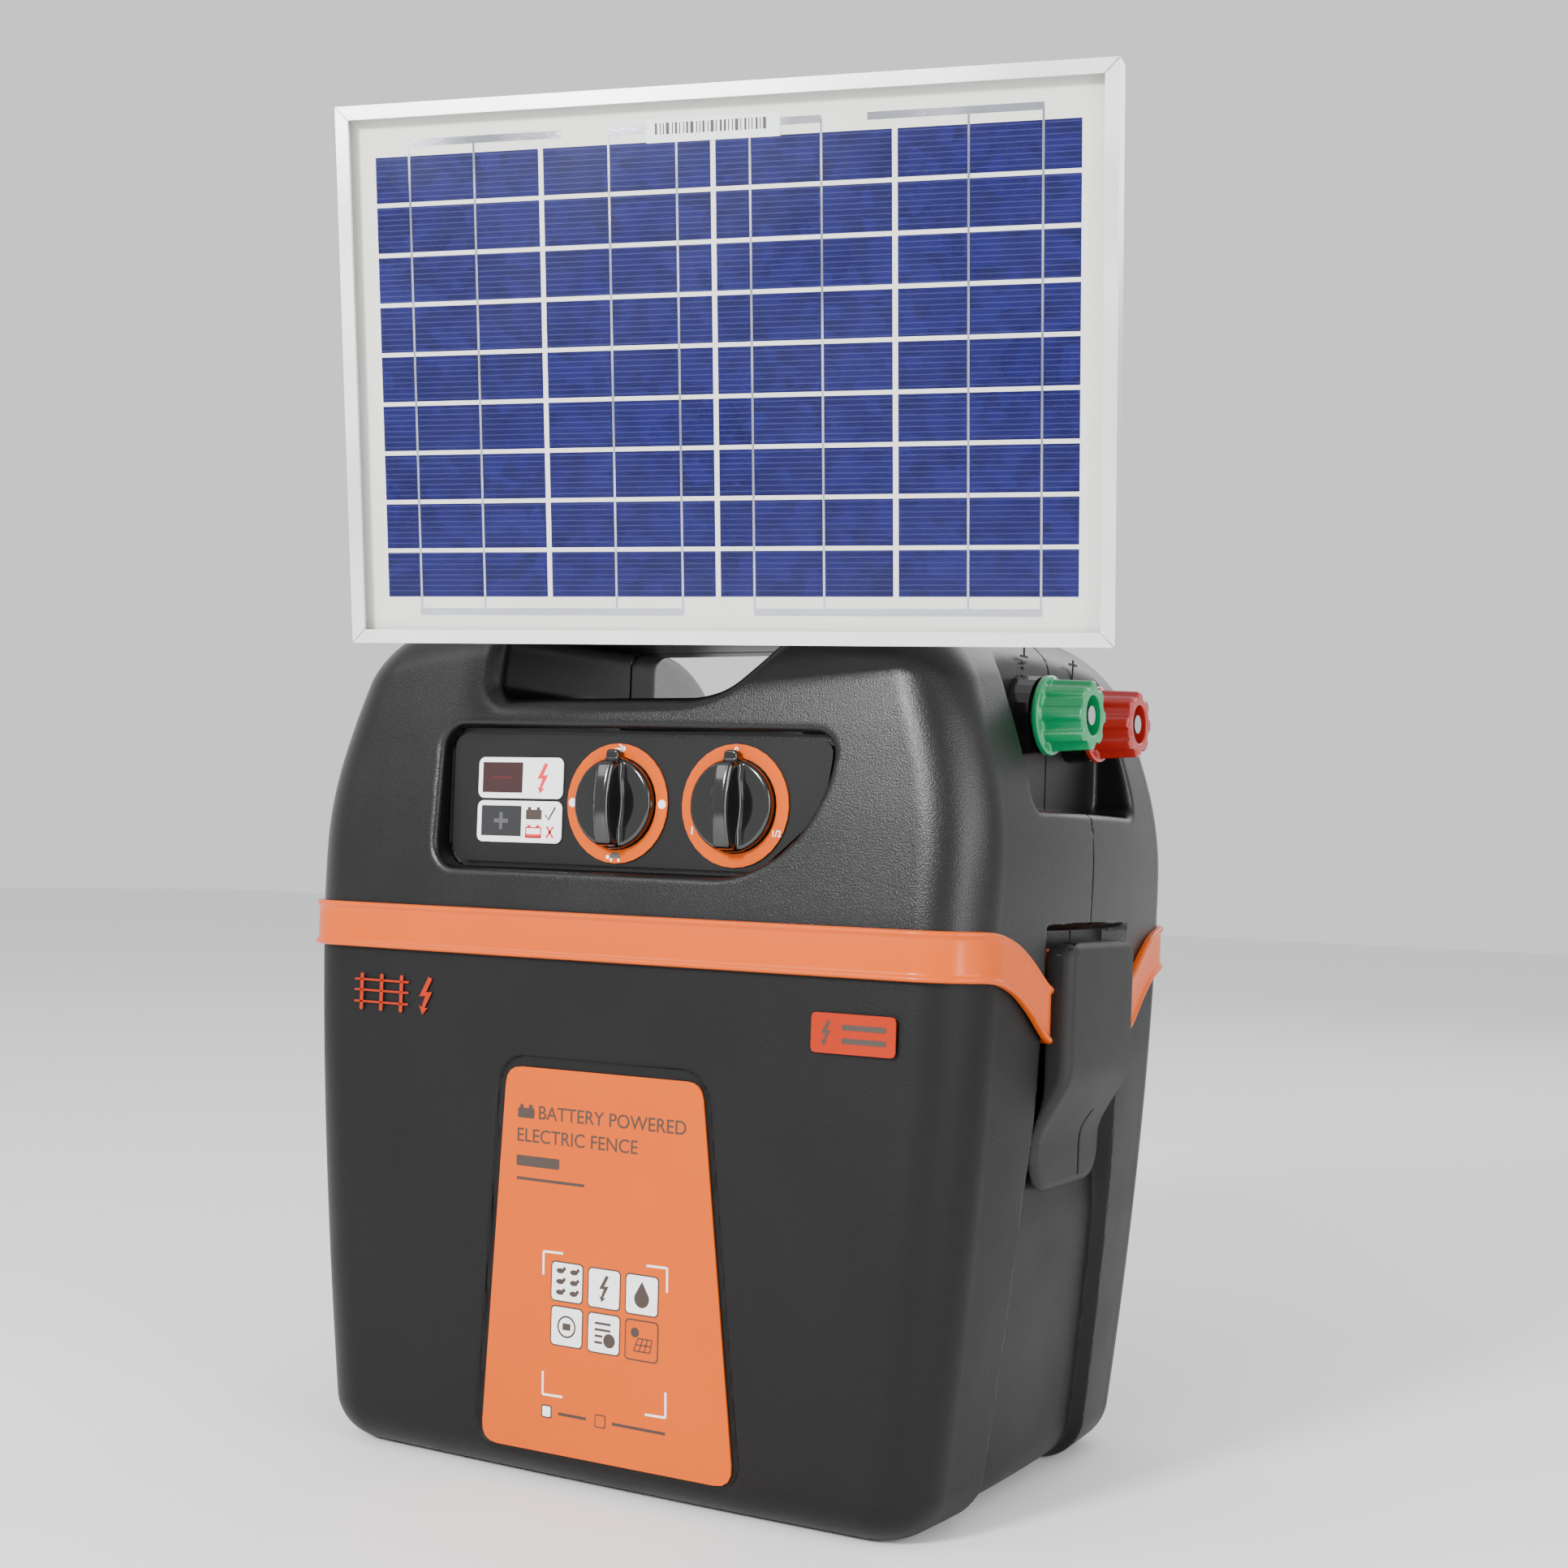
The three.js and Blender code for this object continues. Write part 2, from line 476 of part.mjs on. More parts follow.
for (const [name, x] of [['mode', DIALS.mode], ['power', DIALS.power]]) {
  const ring = alongY(DIALS.ringR, faceY - 0.6, faceY, 32, x, DIALS.z)
    .subtract(alongY(DIALS.knobR + 0.5, -110, -95, 32, x, DIALS.z));
  add(`${name}_dial_ring`, 'orange', ring);
  let knob = turned([[0, 0], [DIALS.knobR, 0], [DIALS.knobR, 4.5], [DIALS.knobR - 2, 6.2], [0, 6.2]],
    24, 'front', x, faceY, DIALS.z);
  const grip = [[x - 4.6, DIALS.z - 17.5, 3], [x + 4.6, DIALS.z - 17.5, 3],
    [x + 4.6, DIALS.z + 17.5, 3], [x - 4.6, DIALS.z + 17.5, 3]];
  knob = knob.add(prismXZ(grip, faceY - 14.5, faceY - 5, 3));
  const nub = [[x - 3.4, DIALS.z + 12, 0], [x + 3.4, DIALS.z + 12, 0],
    [x + 2.6, DIALS.z + 22.5, 2.4], [x - 2.6, DIALS.z + 22.5, 2.4]];
  knob = knob.add(prismXZ(nub, faceY - 6, faceY - 1.2, 3));
  knob = knob.add(alongY(3, faceY - 1, -86.5, 12, x, DIALS.z));
  add(`${name}_knob`, 'gloss', knob);
}

// ---------- fence and earth terminals ----------
const baseLen = 9;
for (const [name, sy, look] of [['earth', -1, 'green'], ['fence', 1, 'red']]) {
  const y = sy * TERM.y;
  const x0 = TERM.wallX + GAP;
  const bore = rod(4.4, 60, 12, 'x', 130, y, TERM.z);
  const base = turned([[0, 0], [17, 0], [16, baseLen], [0, baseLen]], 24, 'x', x0, y, TERM.z).subtract(bore);
  add(`${name}_base`, 'gloss', base);
  add(`${name}_stud`, 'steel', turned(
    [[0, 0], [9, 0], [9, 6], [4, 6], [4, 40], [0, 40]], 12, 'x', TERM.wallX - WALL - GAP - 6, y, TERM.z));
  const wx = x0 + baseLen + GAP;
  add(`${name}_washer`, 'steel', rod(11, 1, 20, 'x', wx, y, TERM.z).subtract(bore));
  const kx = wx + 1 + GAP;
  const lobes = [];
  for (let i = 0; i < 48; i += 1) {
    const t = (i / 48) * Math.PI * 2;
    const r = 13 + 1.6 * Math.cos(8 * t) ** 3;
    lobes.push([y + r * Math.cos(t), TERM.z + r * Math.sin(t)]);
  }
  let knob = rod(16.6, 3, 24, 'x', kx, y, TERM.z);
  knob = knob.add(prismYZ(lobes, kx + 2, kx + 21));
  knob = knob.subtract(bore).subtract(rod(7.5, 10, 16, 'x', kx + 12, y, TERM.z));
  add(`${name}_knob`, look, knob);
}

// ---------- solar socket on the back ----------
let socket = alongY(6, 100, 120, 16, SOCKET.x, SOCKET.z).add(alongY(11, 112.6, 117, 20, SOCKET.x, SOCKET.z));
socket = socket.subtract(alongY(3.5, 106, 125, 12, SOCKET.x, SOCKET.z));
add('solar_socket', 'inside', socket);

// ---------- panel bracket ----------
const seatZ = HANDLE_TOP + GAP;
const postTop = pin.z - 16;
let mast = prismXY([[mastAt.x - 40, mastAt.y - 14, 4], [mastAt.x + 40, mastAt.y - 14, 4],
  [mastAt.x + 40, mastAt.y + 32, 4], [mastAt.x - 40, mastAt.y + 32, 4]], seatZ, seatZ + 4, 3);
mast = mast.add(rod(10, postTop - seatZ, 20, 'z', mastAt.x, mastAt.y, seatZ));
mast = mast.add(rod(6, 30, 16, 'z', mastAt.x, mastAt.y, postTop - 2));
bracketHoles.forEach(([x, y]) => {
  mast = mast.subtract(rod(2.5, 12, 8, 'z', x, y, HANDLE_TOP - 4));
});
add('bracket_mast', 'alu', mast);
bracketHoles.forEach(([x, y], i) => {
  add(`bracket_screw_${i + 1}`, 'steel', turned(
    [[0, 0], [1.8, 0], [1.8, 12], [4.5, 12], [4.5, 14.6], [0, 14.6]], 10, 'z', x, y, seatZ + 4 + GAP - 12));
});

// Arm frame: local +X to the panel's right, -Y towards the panel, pin at the origin.
const armFrame = move(pin.x, pin.y, pin.z).multiply(new THREE.Matrix4().makeRotationZ(PANEL.yaw));
const local = (geoSolid, frame) => geoSolid.transform(frame.elements);
let arm = rod(13, 26, 20, 'z', 0, ARM_LEN, -13).subtract(rod(6 + GAP, 40, 16, 'z', 0, ARM_LEN, -20));
arm = arm.add(box(-5, 5, 9, ARM_LEN - 8, -7, 7).subtract(rod(6 + GAP, 40, 16, 'z', 0, ARM_LEN, -20)));
arm = arm.add(box(-14, 14, 8, 13, -8, 8));
for (const x of [-14, 9]) {
  arm = arm.add(prismYZ([[-7, -7, 5], [12, -8, 0], [12, 8, 0], [-7, 7, 5]], x, x + 5, 3));
}
arm = arm.subtract(rod(3.4, 40, 12, 'x', -20, 0, 0));
add('swivel_arm', 'alu', local(arm, armFrame));
add('tilt_pin', 'steel', local(turned(
  [[0, 0], [5.5, 0], [5.5, 3], [3, 3], [3, 33], [0, 33]], 12, 'x', -17.5 - GAP, 0, 0), armFrame));

// Panel frame: local origin at the pin, -Y out of the face.
const panelFrame = armFrame.clone().multiply(new THREE.Matrix4().makeRotationX(PANEL.tilt));
const put = (name, look, body) => add(name, look, local(body, panelFrame));
const front = -HINGE_BACK;
const back = front + PANEL.t;
const hw = PANEL.w / 2;
const hh = PANEL.h / 2;
let lug = box(-22, 22, back + GAP, back + 3, -18, 18);
for (const x of [-8.6, 4.6]) {
  lug = lug.add(prismYZ([[back + 2, -9, 0], [6.5, -6.5, 5], [6.5, 6.5, 5], [back + 2, 9, 0]], x, x + 4, 3));
}
lug = lug.add(box(-22, 22, back + GAP, back + 3, -hh + 13, hh - 13).intersect(box(-9, 9, -60, 60, -200, 200)));
lug = lug.subtract(rod(3.4, 40, 12, 'x', -20, 0, 0));
put('panel_lug', 'alu', lug);

// Mitred aluminium rails, each an L-section with a lip over the glass.
const rail = (len, horizontal, sign2) => {
  const r = PANEL.rail;
  const edge = horizontal ? hh : hw;
  const section = [
    [0, 0], [r * 0.45, 0], [r * 0.45, 1.5], [1.6, 1.5], [1.6, PANEL.t - 1.6], [r, PANEL.t - 1.6], [r, PANEL.t], [0, PANEL.t],
  ];
  const half = len / 2;
  const pts = section.map(([u, v]) => [edge - u, front + v]);
  let body;
  if (horizontal) {
    const yz = pts.map(([u, v]) => [v, sign2 * u]);
    if (sign2 > 0) yz.reverse();
    body = prismYZ(yz, -half, half);
  } else {
    const xy = pts.map(([u, v]) => [sign2 * u, v]);
    if (sign2 < 0) xy.reverse();
    body = prismXY(xy, -half, half);
  }
  return body;
};
// Cuts both ends of a rail on the 45 degree line, leaving a hairline between rails.
const cornerCut = (horizontal, sign2, body) => {
  const g = 0.2;
  let out = body;
  for (const e of [-1, 1]) {
    const cx = horizontal ? e * hw : sign2 * hw;
    const cz = horizontal ? sign2 * hh : e * hh;
    const sx = Math.sign(cx);
    const sz = Math.sign(cz);
    const big = 60;
    const tri = horizontal
      ? [[cx - sx * g, cz], [cx + sx * big, cz + sz * 0], [cx + sx * big, cz - sz * big], [cx - sx * (big + g), cz - sz * big]]
      : [[cx, cz - sz * g], [cx, cz + sz * big], [cx - sx * big, cz + sz * big], [cx - sx * big, cz - sz * (big + g)]];
    const area = tri.reduce((s, [x, y], i) => {
      const [x2, y2] = tri[(i + 1) % tri.length];
      return s + x * y2 - x2 * y;
    }, 0);
    if (area < 0) tri.reverse();
    out = out.subtract(prismXZ(tri, -90, 40));
  }
  return out;
};
put('frame_top', 'alu', cornerCut(true, 1, rail(PANEL.w, true, 1)));
put('frame_bottom', 'alu', cornerCut(true, -1, rail(PANEL.w, true, -1)));
put('frame_right', 'alu', cornerCut(false, 1, rail(PANEL.h, false, 1)));
put('frame_left', 'alu', cornerCut(false, -1, rail(PANEL.h, false, -1)));
const paneW = hw - 1.6 - GAP;
const paneH = hh - 1.6 - GAP;
put('panel_glass', 'glass', box(-paneW, paneW, front + 1.5 + GAP, front + 5, -paneH, paneH));
put('cell_laminate', 'cells', box(-paneW, paneW, front + 5 + GAP, front + 6.6, -paneH, paneH));
put('junction_box', 'inside', box(-28, 28, front + 6.6 + GAP, front + 6.6 + 14, hh - 62, hh - 16)
  .subtract(box(-11, 11, back - 2, 60, -200, 200)));
put('cable_gland', 'gloss', rod(5.5, 12, 12, 'x', 28 + GAP, front + 13.5, hh - 40));

export default group;
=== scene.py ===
import math

import bmesh
import bpy
import numpy as np
from mathutils import Matrix, Vector


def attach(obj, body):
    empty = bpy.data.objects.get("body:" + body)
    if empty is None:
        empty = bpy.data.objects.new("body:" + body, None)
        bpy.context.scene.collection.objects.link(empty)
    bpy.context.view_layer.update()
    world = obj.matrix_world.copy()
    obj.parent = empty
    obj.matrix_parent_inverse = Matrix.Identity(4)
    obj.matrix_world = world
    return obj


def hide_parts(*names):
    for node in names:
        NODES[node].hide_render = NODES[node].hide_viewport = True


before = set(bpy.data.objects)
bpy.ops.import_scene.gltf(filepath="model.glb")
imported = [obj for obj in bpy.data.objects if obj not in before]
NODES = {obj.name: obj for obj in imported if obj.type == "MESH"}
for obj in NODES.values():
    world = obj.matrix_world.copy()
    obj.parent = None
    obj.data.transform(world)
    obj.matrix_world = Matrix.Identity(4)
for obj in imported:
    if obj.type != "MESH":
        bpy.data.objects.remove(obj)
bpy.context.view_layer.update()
MM = 0.001
STEP = 1.35


# ---------------------------------------------------------------- implicit shapes
def cut_round(a, b, r):
    """Where both a and b hold, with the edge between them rounded."""
    u, v = np.maximum(r + a, 0), np.maximum(r + b, 0)
    return np.minimum(-r, np.maximum(a, b)) + np.sqrt(u * u + v * v)


def join_round(a, b, r):
    """Where a or b holds, with a fillet between them."""
    u, v = np.maximum(r - a, 0), np.maximum(r - b, 0)
    return np.maximum(r, np.minimum(a, b)) - np.sqrt(u * u + v * v)


def polygon(u, v, pts, r):
    """Convex polygon with rounded corners. Points run anticlockwise."""
    d = None
    for i, (x0, y0) in enumerate(pts):
        x1, y1 = pts[(i + 1) % len(pts)]
        ln = math.hypot(x1 - x0, y1 - y0)
        e = (u - x0) * (y1 - y0) / ln - (v - y0) * (x1 - x0) / ln
        d = e if d is None else cut_round(d, e, r)
    return d


def cube(x, y, z, lo, hi, r=0.0):
    dx = np.maximum(lo[0] - x, x - hi[0])
    dy = np.maximum(lo[1] - y, y - hi[1])
    dz = np.maximum(lo[2] - z, z - hi[2])
    return cut_round(cut_round(dx, dy, r), dz, r)


def smooth_table(stops, sigma=3.0):
    """A table of heights and sizes with its corners eased, as a function."""
    zs = np.arange(stops[0][0] - 20, stops[-1][0] + 21, 1.0)
    vals = np.interp(zs, [s[0] for s in stops], [s[1] for s in stops])
    k = np.exp(-0.5 * (np.arange(-12, 13) / sigma) ** 2)
    k /= k.sum()
    eased = np.convolve(np.pad(vals, 12, mode="edge"), k, mode="valid")
    return lambda z: np.interp(z, zs, eased)


def skin(f, lo, hi, step):
    """Quads on the surface f = 0 inside a box: one vertex in each crossed cell."""
    axes = [np.arange(lo[i] - step, hi[i] + 2 * step, step) for i in range(3)]
    x, y, z = np.meshgrid(*axes, indexing="ij", sparse=True)
    val = np.broadcast_to(f(x, y, z), tuple(len(a) for a in axes)).astype(np.float32)
    ins = val < 0
    n = [s - 1 for s in val.shape]
    total = np.zeros(n, np.int8)
    for i in (0, 1):
        for j in (0, 1):
            for k in (0, 1):
                total += ins[i:i + n[0], j:j + n[1], k:k + n[2]]
    cells = np.argwhere((total > 0) & (total < 8))
    index = np.full(n, -1, np.int32)
    index[tuple(cells.T)] = np.arange(len(cells))
    acc = np.zeros((len(cells), 3))
    cnt = np.zeros(len(cells))
    for ax in range(3):
        o1, o2 = [a for a in range(3) if a != ax]
        for p in (0, 1):
            for q in (0, 1):
                a = cells.copy()
                a[:, o1] += p
                a[:, o2] += q
                b = a.copy()
                b[:, ax] += 1
                va, vb = val[tuple(a.T)], val[tuple(b.T)]
                m = (va < 0) != (vb < 0)
                t = np.where(m, va / np.where(m, va - vb, 1), 0)
                pt = a.astype(float)
                pt[:, ax] += t
                acc[m] += pt[m]
                cnt[m] += 1
    pos = acc / cnt[:, None] * step + np.array([a[0] for a in axes])
    for _ in range(3):
        h = 0.05
        v0 = f(*pos.T)
        g = np.stack([(f(*(pos + d).T) - f(*(pos - d).T)) / (2 * h) for d in np.eye(3) * h], 1)
        s = v0 / np.maximum((g * g).sum(1), 1e-3)
        pos -= np.clip(s, -step, step)[:, None] * np.clip(g, -2, 2) * 0.9
    quads = []
    for ax in range(3):
        b1, b2 = (ax + 1) % 3, (ax + 2) % 3
        sl0 = [slice(None)] * 3
        sl1 = [slice(None)] * 3
        sl0[ax] = slice(0, -1)
        sl1[ax] = slice(1, None)
        a, b = ins[tuple(sl0)], ins[tuple(sl1)]
        hit = np.argwhere(a != b)
        hit = hit[(hit[:, b1] > 0) & (hit[:, b2] > 0) & (hit[:, b1] < n[b1]) & (hit[:, b2] < n[b2])]
        out = a[tuple(hit.T)]
        ring = []
        for d1, d2 in ((1, 1), (0, 1), (0, 0), (1, 0)):
            c = hit.copy()
            c[:, b1] -= d1
            c[:, b2] -= d2
            ring.append(index[tuple(c.T)])
        q = np.stack(ring, 1)
        q[~out] = q[~out][:, ::-1]
        quads.append(q)
    return pos, np.concatenate(quads)


# ---------------------------------------------------------------- objects
def make(name, verts, faces, material, smooth=True, sharp=None, matrix=None):
    me = bpy.data.meshes.new(name)
    me.from_pydata(np.asarray(verts, float) * MM, [], faces)
    if smooth:
        me.shade_smooth()
    if sharp:
        me.set_sharp_from_angle(angle=math.radians(sharp))
    ob = bpy.data.objects.new(name, me)
    bpy.context.collection.objects.link(ob)
    if matrix is not None:
        me.transform(matrix)
    me.materials.append(material)
    return ob


def implicit(name, f, lo, hi, step, material, sharp=38):
    pos, quads = skin(f, lo, hi, step)
    return make(name, pos, quads, material, sharp=sharp)


def slab(name, outline, depth, material, matrix, bevel=0.0):
    """Flat piece: an outline in the local x, z plane, with its face at y = -depth."""
    n = len(outline)
    verts = [(u, 0, v) for u, v in outline] + [(u, -depth, v) for u, v in outline]
    faces = [list(range(n))[::-1], list(range(n, 2 * n))]
    faces += [[i, (i + 1) % n, n + (i + 1) % n, n + i] for i in range(n)]
    ob = make(name, verts, faces, material, smooth=False, matrix=matrix)
    fix_normals(ob)
    if bevel:
        soften(ob, bevel)
    return ob


def fix_normals(ob):
    bm = bmesh.new()
    bm.from_mesh(ob.data)
    bmesh.ops.recalc_face_normals(bm, faces=bm.faces)
    bm.to_mesh(ob.data)
    bm.free()


def soften(ob, width, segments=3, angle=35):
    mod = ob.modifiers.new("edge", "BEVEL")
    mod.width = width * MM
    mod.segments = segments
    mod.limit_method = "ANGLE"
    mod.angle_limit = math.radians(angle)
    mod.harden_normals = False
    for p in ob.data.polygons:
        p.use_smooth = True
    ob.data.set_sharp_from_angle(angle=math.radians(50))
    return ob


def rounded_rect(x0, x1, z0, z1, r, n=6):
    pts = []
    corners = ((x1 - r, z1 - r, 0), (x0 + r, z1 - r, 90), (x0 + r, z0 + r, 180), (x1 - r, z0 + r, 270))
    for cx, cz, a0 in corners:
        for k in range(n + 1):
            t = math.radians(a0 + 90 * k / n)
            pts.append((cx + r * math.cos(t), cz + r * math.sin(t)))
    return pts


def disc(cx, cz, r, n=40, ry=None):
    angles = [2 * math.pi * k / n for k in range(n)]
    return [(cx + r * math.cos(t), cz + (ry or r) * math.sin(t)) for t in angles]


def ring_plate(name, cx, cz, r_in, r_out, depth, material, matrix, n=72, a0=0.0, a1=360.0):
    verts, faces = [], []
    full = abs(a1 - a0) >= 359.9
    m = n if full else n + 1
    for k in range(m):
        t = math.radians(a0 + (a1 - a0) * k / n)
        for r, y in ((r_in, 0), (r_out, 0), (r_out, -depth), (r_in, -depth)):
            verts.append((cx + r * math.cos(t), y, cz + r * math.sin(t)))
    for k in range(n):
        a, b = k * 4, ((k + 1) % m) * 4
        for i in range(4):
            j = (i + 1) % 4
            faces.append([a + i, b + i, b + j, a + j])
    if not full:
        faces += [[0, 1, 2, 3], [(m - 1) * 4 + i for i in (3, 2, 1, 0)]]
    ob = make(name, verts, faces, material, smooth=False, matrix=matrix)
    fix_normals(ob)
    return ob


# ---------------------------------------------------------------- materials
def material(name, color, rough, metal=0.0, grain=None, wear=0.04, coat=0.0, tint=0.06, blotch=18.0, **extra):
    m = bpy.data.materials.new(name)
    m.use_nodes = True
    nt = m.node_tree
    bsdf = nt.nodes["Principled BSDF"]
    bsdf.inputs["Base Color"].default_value = (*color, 1)
    bsdf.inputs["Roughness"].default_value = rough
    bsdf.inputs["Metallic"].default_value = metal
    bsdf.inputs["Coat Weight"].default_value = coat
    bsdf.inputs["Coat Roughness"].default_value = 0.08
    for key, val in extra.items():
        bsdf.inputs[key.replace("_", " ")].default_value = val
    coord = nt.nodes.new("ShaderNodeTexCoord")
    big = nt.nodes.new("ShaderNodeTexNoise")
    big.inputs["Scale"].default_value = blotch
    big.inputs["Detail"].default_value = 6
    nt.links.new(coord.outputs["Object"], big.inputs["Vector"])
    span = nt.nodes.new("ShaderNodeMapRange")
    span.inputs["From Min"].default_value = 0.3
    span.inputs["From Max"].default_value = 0.7
    span.inputs["To Min"].default_value = max(0.02, rough - wear)
    span.inputs["To Max"].default_value = rough + wear
    nt.links.new(big.outputs["Fac"], span.inputs["Value"])
    nt.links.new(span.outputs["Result"], bsdf.inputs["Roughness"])
    mix = nt.nodes.new("ShaderNodeMix")
    mix.data_type = "RGBA"
    mix.inputs["A"].default_value = (*[c * (1 - tint) for c in color], 1)
    mix.inputs["B"].default_value = (*[min(1, c * (1 + tint) + 0.002) for c in color], 1)
    nt.links.new(big.outputs["Fac"], mix.inputs["Factor"])
    nt.links.new(mix.outputs["Result"], bsdf.inputs["Base Color"])
    if grain:
        scale, strength, height = grain
        fine = nt.nodes.new("ShaderNodeTexNoise")
        fine.inputs["Scale"].default_value = scale
        fine.inputs["Detail"].default_value = 2
        fine.inputs["Roughness"].default_value = 0.55
        nt.links.new(coord.outputs["Object"], fine.inputs["Vector"])
        bump = nt.nodes.new("ShaderNodeBump")
        bump.inputs["Strength"].default_value = strength
        bump.inputs["Distance"].default_value = height * MM
        nt.links.new(fine.outputs["Fac"], bump.inputs["Height"])
        nt.links.new(bump.outputs["Normal"], bsdf.inputs["Normal"])
    return m


TUB = material("tub_plastic", (0.0050, 0.0047, 0.0049), 0.46, grain=(1100, 0.6, 0.25), wear=0.05,
               Specular_IOR_Level=0.16)
LID = material("lid_plastic", (0.0030, 0.0029, 0.0030), 0.31, grain=(1700, 0.7, 0.2), wear=0.03,
               Specular_IOR_Level=0.34)
ORANGE = material("orange_plastic", (0.54, 0.076, 0.0), 0.26, grain=(260, 0.12, 0.1), wear=0.05, coat=0.06,
                  Specular_IOR_Level=0.2)
DIAL = material("dial_orange", (0.52, 0.074, 0.0), 0.4, grain=(900, 0.12, 0.05), Specular_IOR_Level=0.12)
LABEL = material("label_film", (0.52, 0.076, 0.0), 0.34, grain=(500, 0.06, 0.05), wear=0.06,
                 Specular_IOR_Level=0.12)
BADGE = material("badge_film", (0.32, 0.018, 0.002), 0.4, grain=(700, 0.1, 0.05), Specular_IOR_Level=0.12)
RUBBER = material("latch_rubber", (0.011, 0.0102, 0.0104), 0.60, grain=(1400, 0.35, 0.15), wear=0.07,
                  Specular_IOR_Level=0.3)
GLOSS = material("gloss_black", (0.003, 0.003, 0.003), 0.13, grain=(300, 0.05, 0.05), coat=0.4)
PLATE = material("plate_film", (0.005, 0.0049, 0.005), 0.5, grain=(1500, 0.35, 0.12), Specular_IOR_Level=0.2)
WHITE = material("white_print", (0.80, 0.80, 0.80), 0.42, grain=(900, 0.1, 0.04), tint=0.03)
DARK = material("dark_print", (0.03, 0.016, 0.01), 0.45, grain=(900, 0.1, 0.04))
REDINK = material("red_print", (0.60, 0.012, 0.016), 0.42, grain=(900, 0.1, 0.04))
LENS_R = material("dark_red_window", (0.022, 0.0015, 0.002), 0.08, coat=0.8)
LENS_B = material("smoked_window", (0.010, 0.010, 0.012), 0.10, coat=0.8)
GREY = material("grey_print", (0.055, 0.055, 0.06), 0.4)
GREEN = material("green_plastic", (0.004, 0.22, 0.075), 0.24, grain=(400, 0.12, 0.1), coat=0.25)
RED = material("red_plastic", (0.32, 0.012, 0.010), 0.26, grain=(400, 0.12, 0.1), coat=0.25)
STEEL = material("zinc_steel", (0.62, 0.62, 0.60), 0.28, 1.0, grain=(220, 0.2, 0.05), wear=0.1)
ALU = material("anodised_rail", (0.80, 0.80, 0.79), 0.34, 0.9, grain=(700, 0.15, 0.04), wear=0.05, tint=0.03)
BRACKET = material("bracket_alloy", (0.55, 0.56, 0.57), 0.36, 1.0, grain=(500, 0.25, 0.05), wear=0.08)
LEADM = material("battery_lead", (0.33, 0.34, 0.35), 0.5, 0.9, grain=(300, 0.4, 0.1), wear=0.1)
CASE = material("battery_case", (0.075, 0.08, 0.09), 0.45, grain=(700, 0.3, 0.15))
BOARD = material("board_green", (0.010, 0.10, 0.035), 0.35, grain=(500, 0.15, 0.05))
INNER = material("inner_black", (0.012, 0.012, 0.013), 0.5, grain=(700, 0.3, 0.15))
SLEEVE = material("can_sleeve", (0.012, 0.016, 0.03), 0.3, grain=(300, 0.1, 0.05))
CORE = material("core_steel", (0.30, 0.29, 0.28), 0.45, 1.0, grain=(350, 0.4, 0.1), wear=0.12)
BACKSHEET = material("backsheet", (0.74, 0.70, 0.66), 0.5, grain=(600, 0.15, 0.05), tint=0.03)
RIBBON = material("solder_ribbon", (0.50, 0.50, 0.56), 0.22, 1.0, grain=(900, 0.5, 0.1), wear=0.12, tint=0.15)


def cell_material():
    """Blue cell: crystal patches in slightly different blues and thin printed fingers across."""
    m = material("solar_cell", (0.010, 0.012, 0.085), 0.3, wear=0.05, coat=0.0, Specular_IOR_Level=0.2)
    nt = m.node_tree
    bsdf = nt.nodes["Principled BSDF"]
    coord = nt.nodes.new("ShaderNodeTexCoord")
    vor = nt.nodes.new("ShaderNodeTexVoronoi")
    vor.inputs["Scale"].default_value = 170
    noise = nt.nodes.new("ShaderNodeTexNoise")
    noise.inputs["Scale"].default_value = 900
    noise.inputs["Detail"].default_value = 3
    ramp = nt.nodes.new("ShaderNodeMix")
    ramp.data_type = "RGBA"
    ramp.inputs["A"].default_value = (0.0015, 0.0015, 0.030, 1)
    ramp.inputs["B"].default_value = (0.008, 0.007, 0.100, 1)
    add = nt.nodes.new("ShaderNodeMath")
    add.operation = "MULTIPLY_ADD"
    add.inputs[1].default_value = 0.55
    sep = nt.nodes.new("ShaderNodeSeparateColor")
    half = nt.nodes.new("ShaderNodeMath")
    half.operation = "MULTIPLY"
    half.inputs[1].default_value = 0.5
    for node in (vor, noise):
        nt.links.new(coord.outputs["Object"], node.inputs["Vector"])
    nt.links.new(vor.outputs["Color"], sep.inputs["Color"])
    nt.links.new(sep.outputs["Red"], add.inputs[0])
    nt.links.new(noise.outputs["Fac"], half.inputs[0])
    nt.links.new(half.outputs["Value"], add.inputs[2])
    nt.links.new(add.outputs["Value"], ramp.inputs["Factor"])
    wave = nt.nodes.new("ShaderNodeTexWave")
    wave.wave_type = "BANDS"
    wave.bands_direction = "Z"
    wave.inputs["Scale"].default_value = 150
    nt.links.new(coord.outputs["Object"], wave.inputs["Vector"])
    line = nt.nodes.new("ShaderNodeMath")
    line.operation = "GREATER_THAN"
    line.inputs[1].default_value = 0.93
    nt.links.new(wave.outputs["Fac"], line.inputs[0])
    soft = nt.nodes.new("ShaderNodeMath")
    soft.operation = "MULTIPLY"
    soft.inputs[1].default_value = 0.22
    nt.links.new(line.outputs["Value"], soft.inputs[0])
    top = nt.nodes.new("ShaderNodeMix")
    top.data_type = "RGBA"
    top.inputs["B"].default_value = (0.10, 0.11, 0.32, 1)
    nt.links.new(soft.outputs["Value"], top.inputs["Factor"])
    nt.links.new(ramp.outputs["Result"], top.inputs["A"])
    nt.links.new(top.outputs["Result"], bsdf.inputs["Base Color"])
    return m


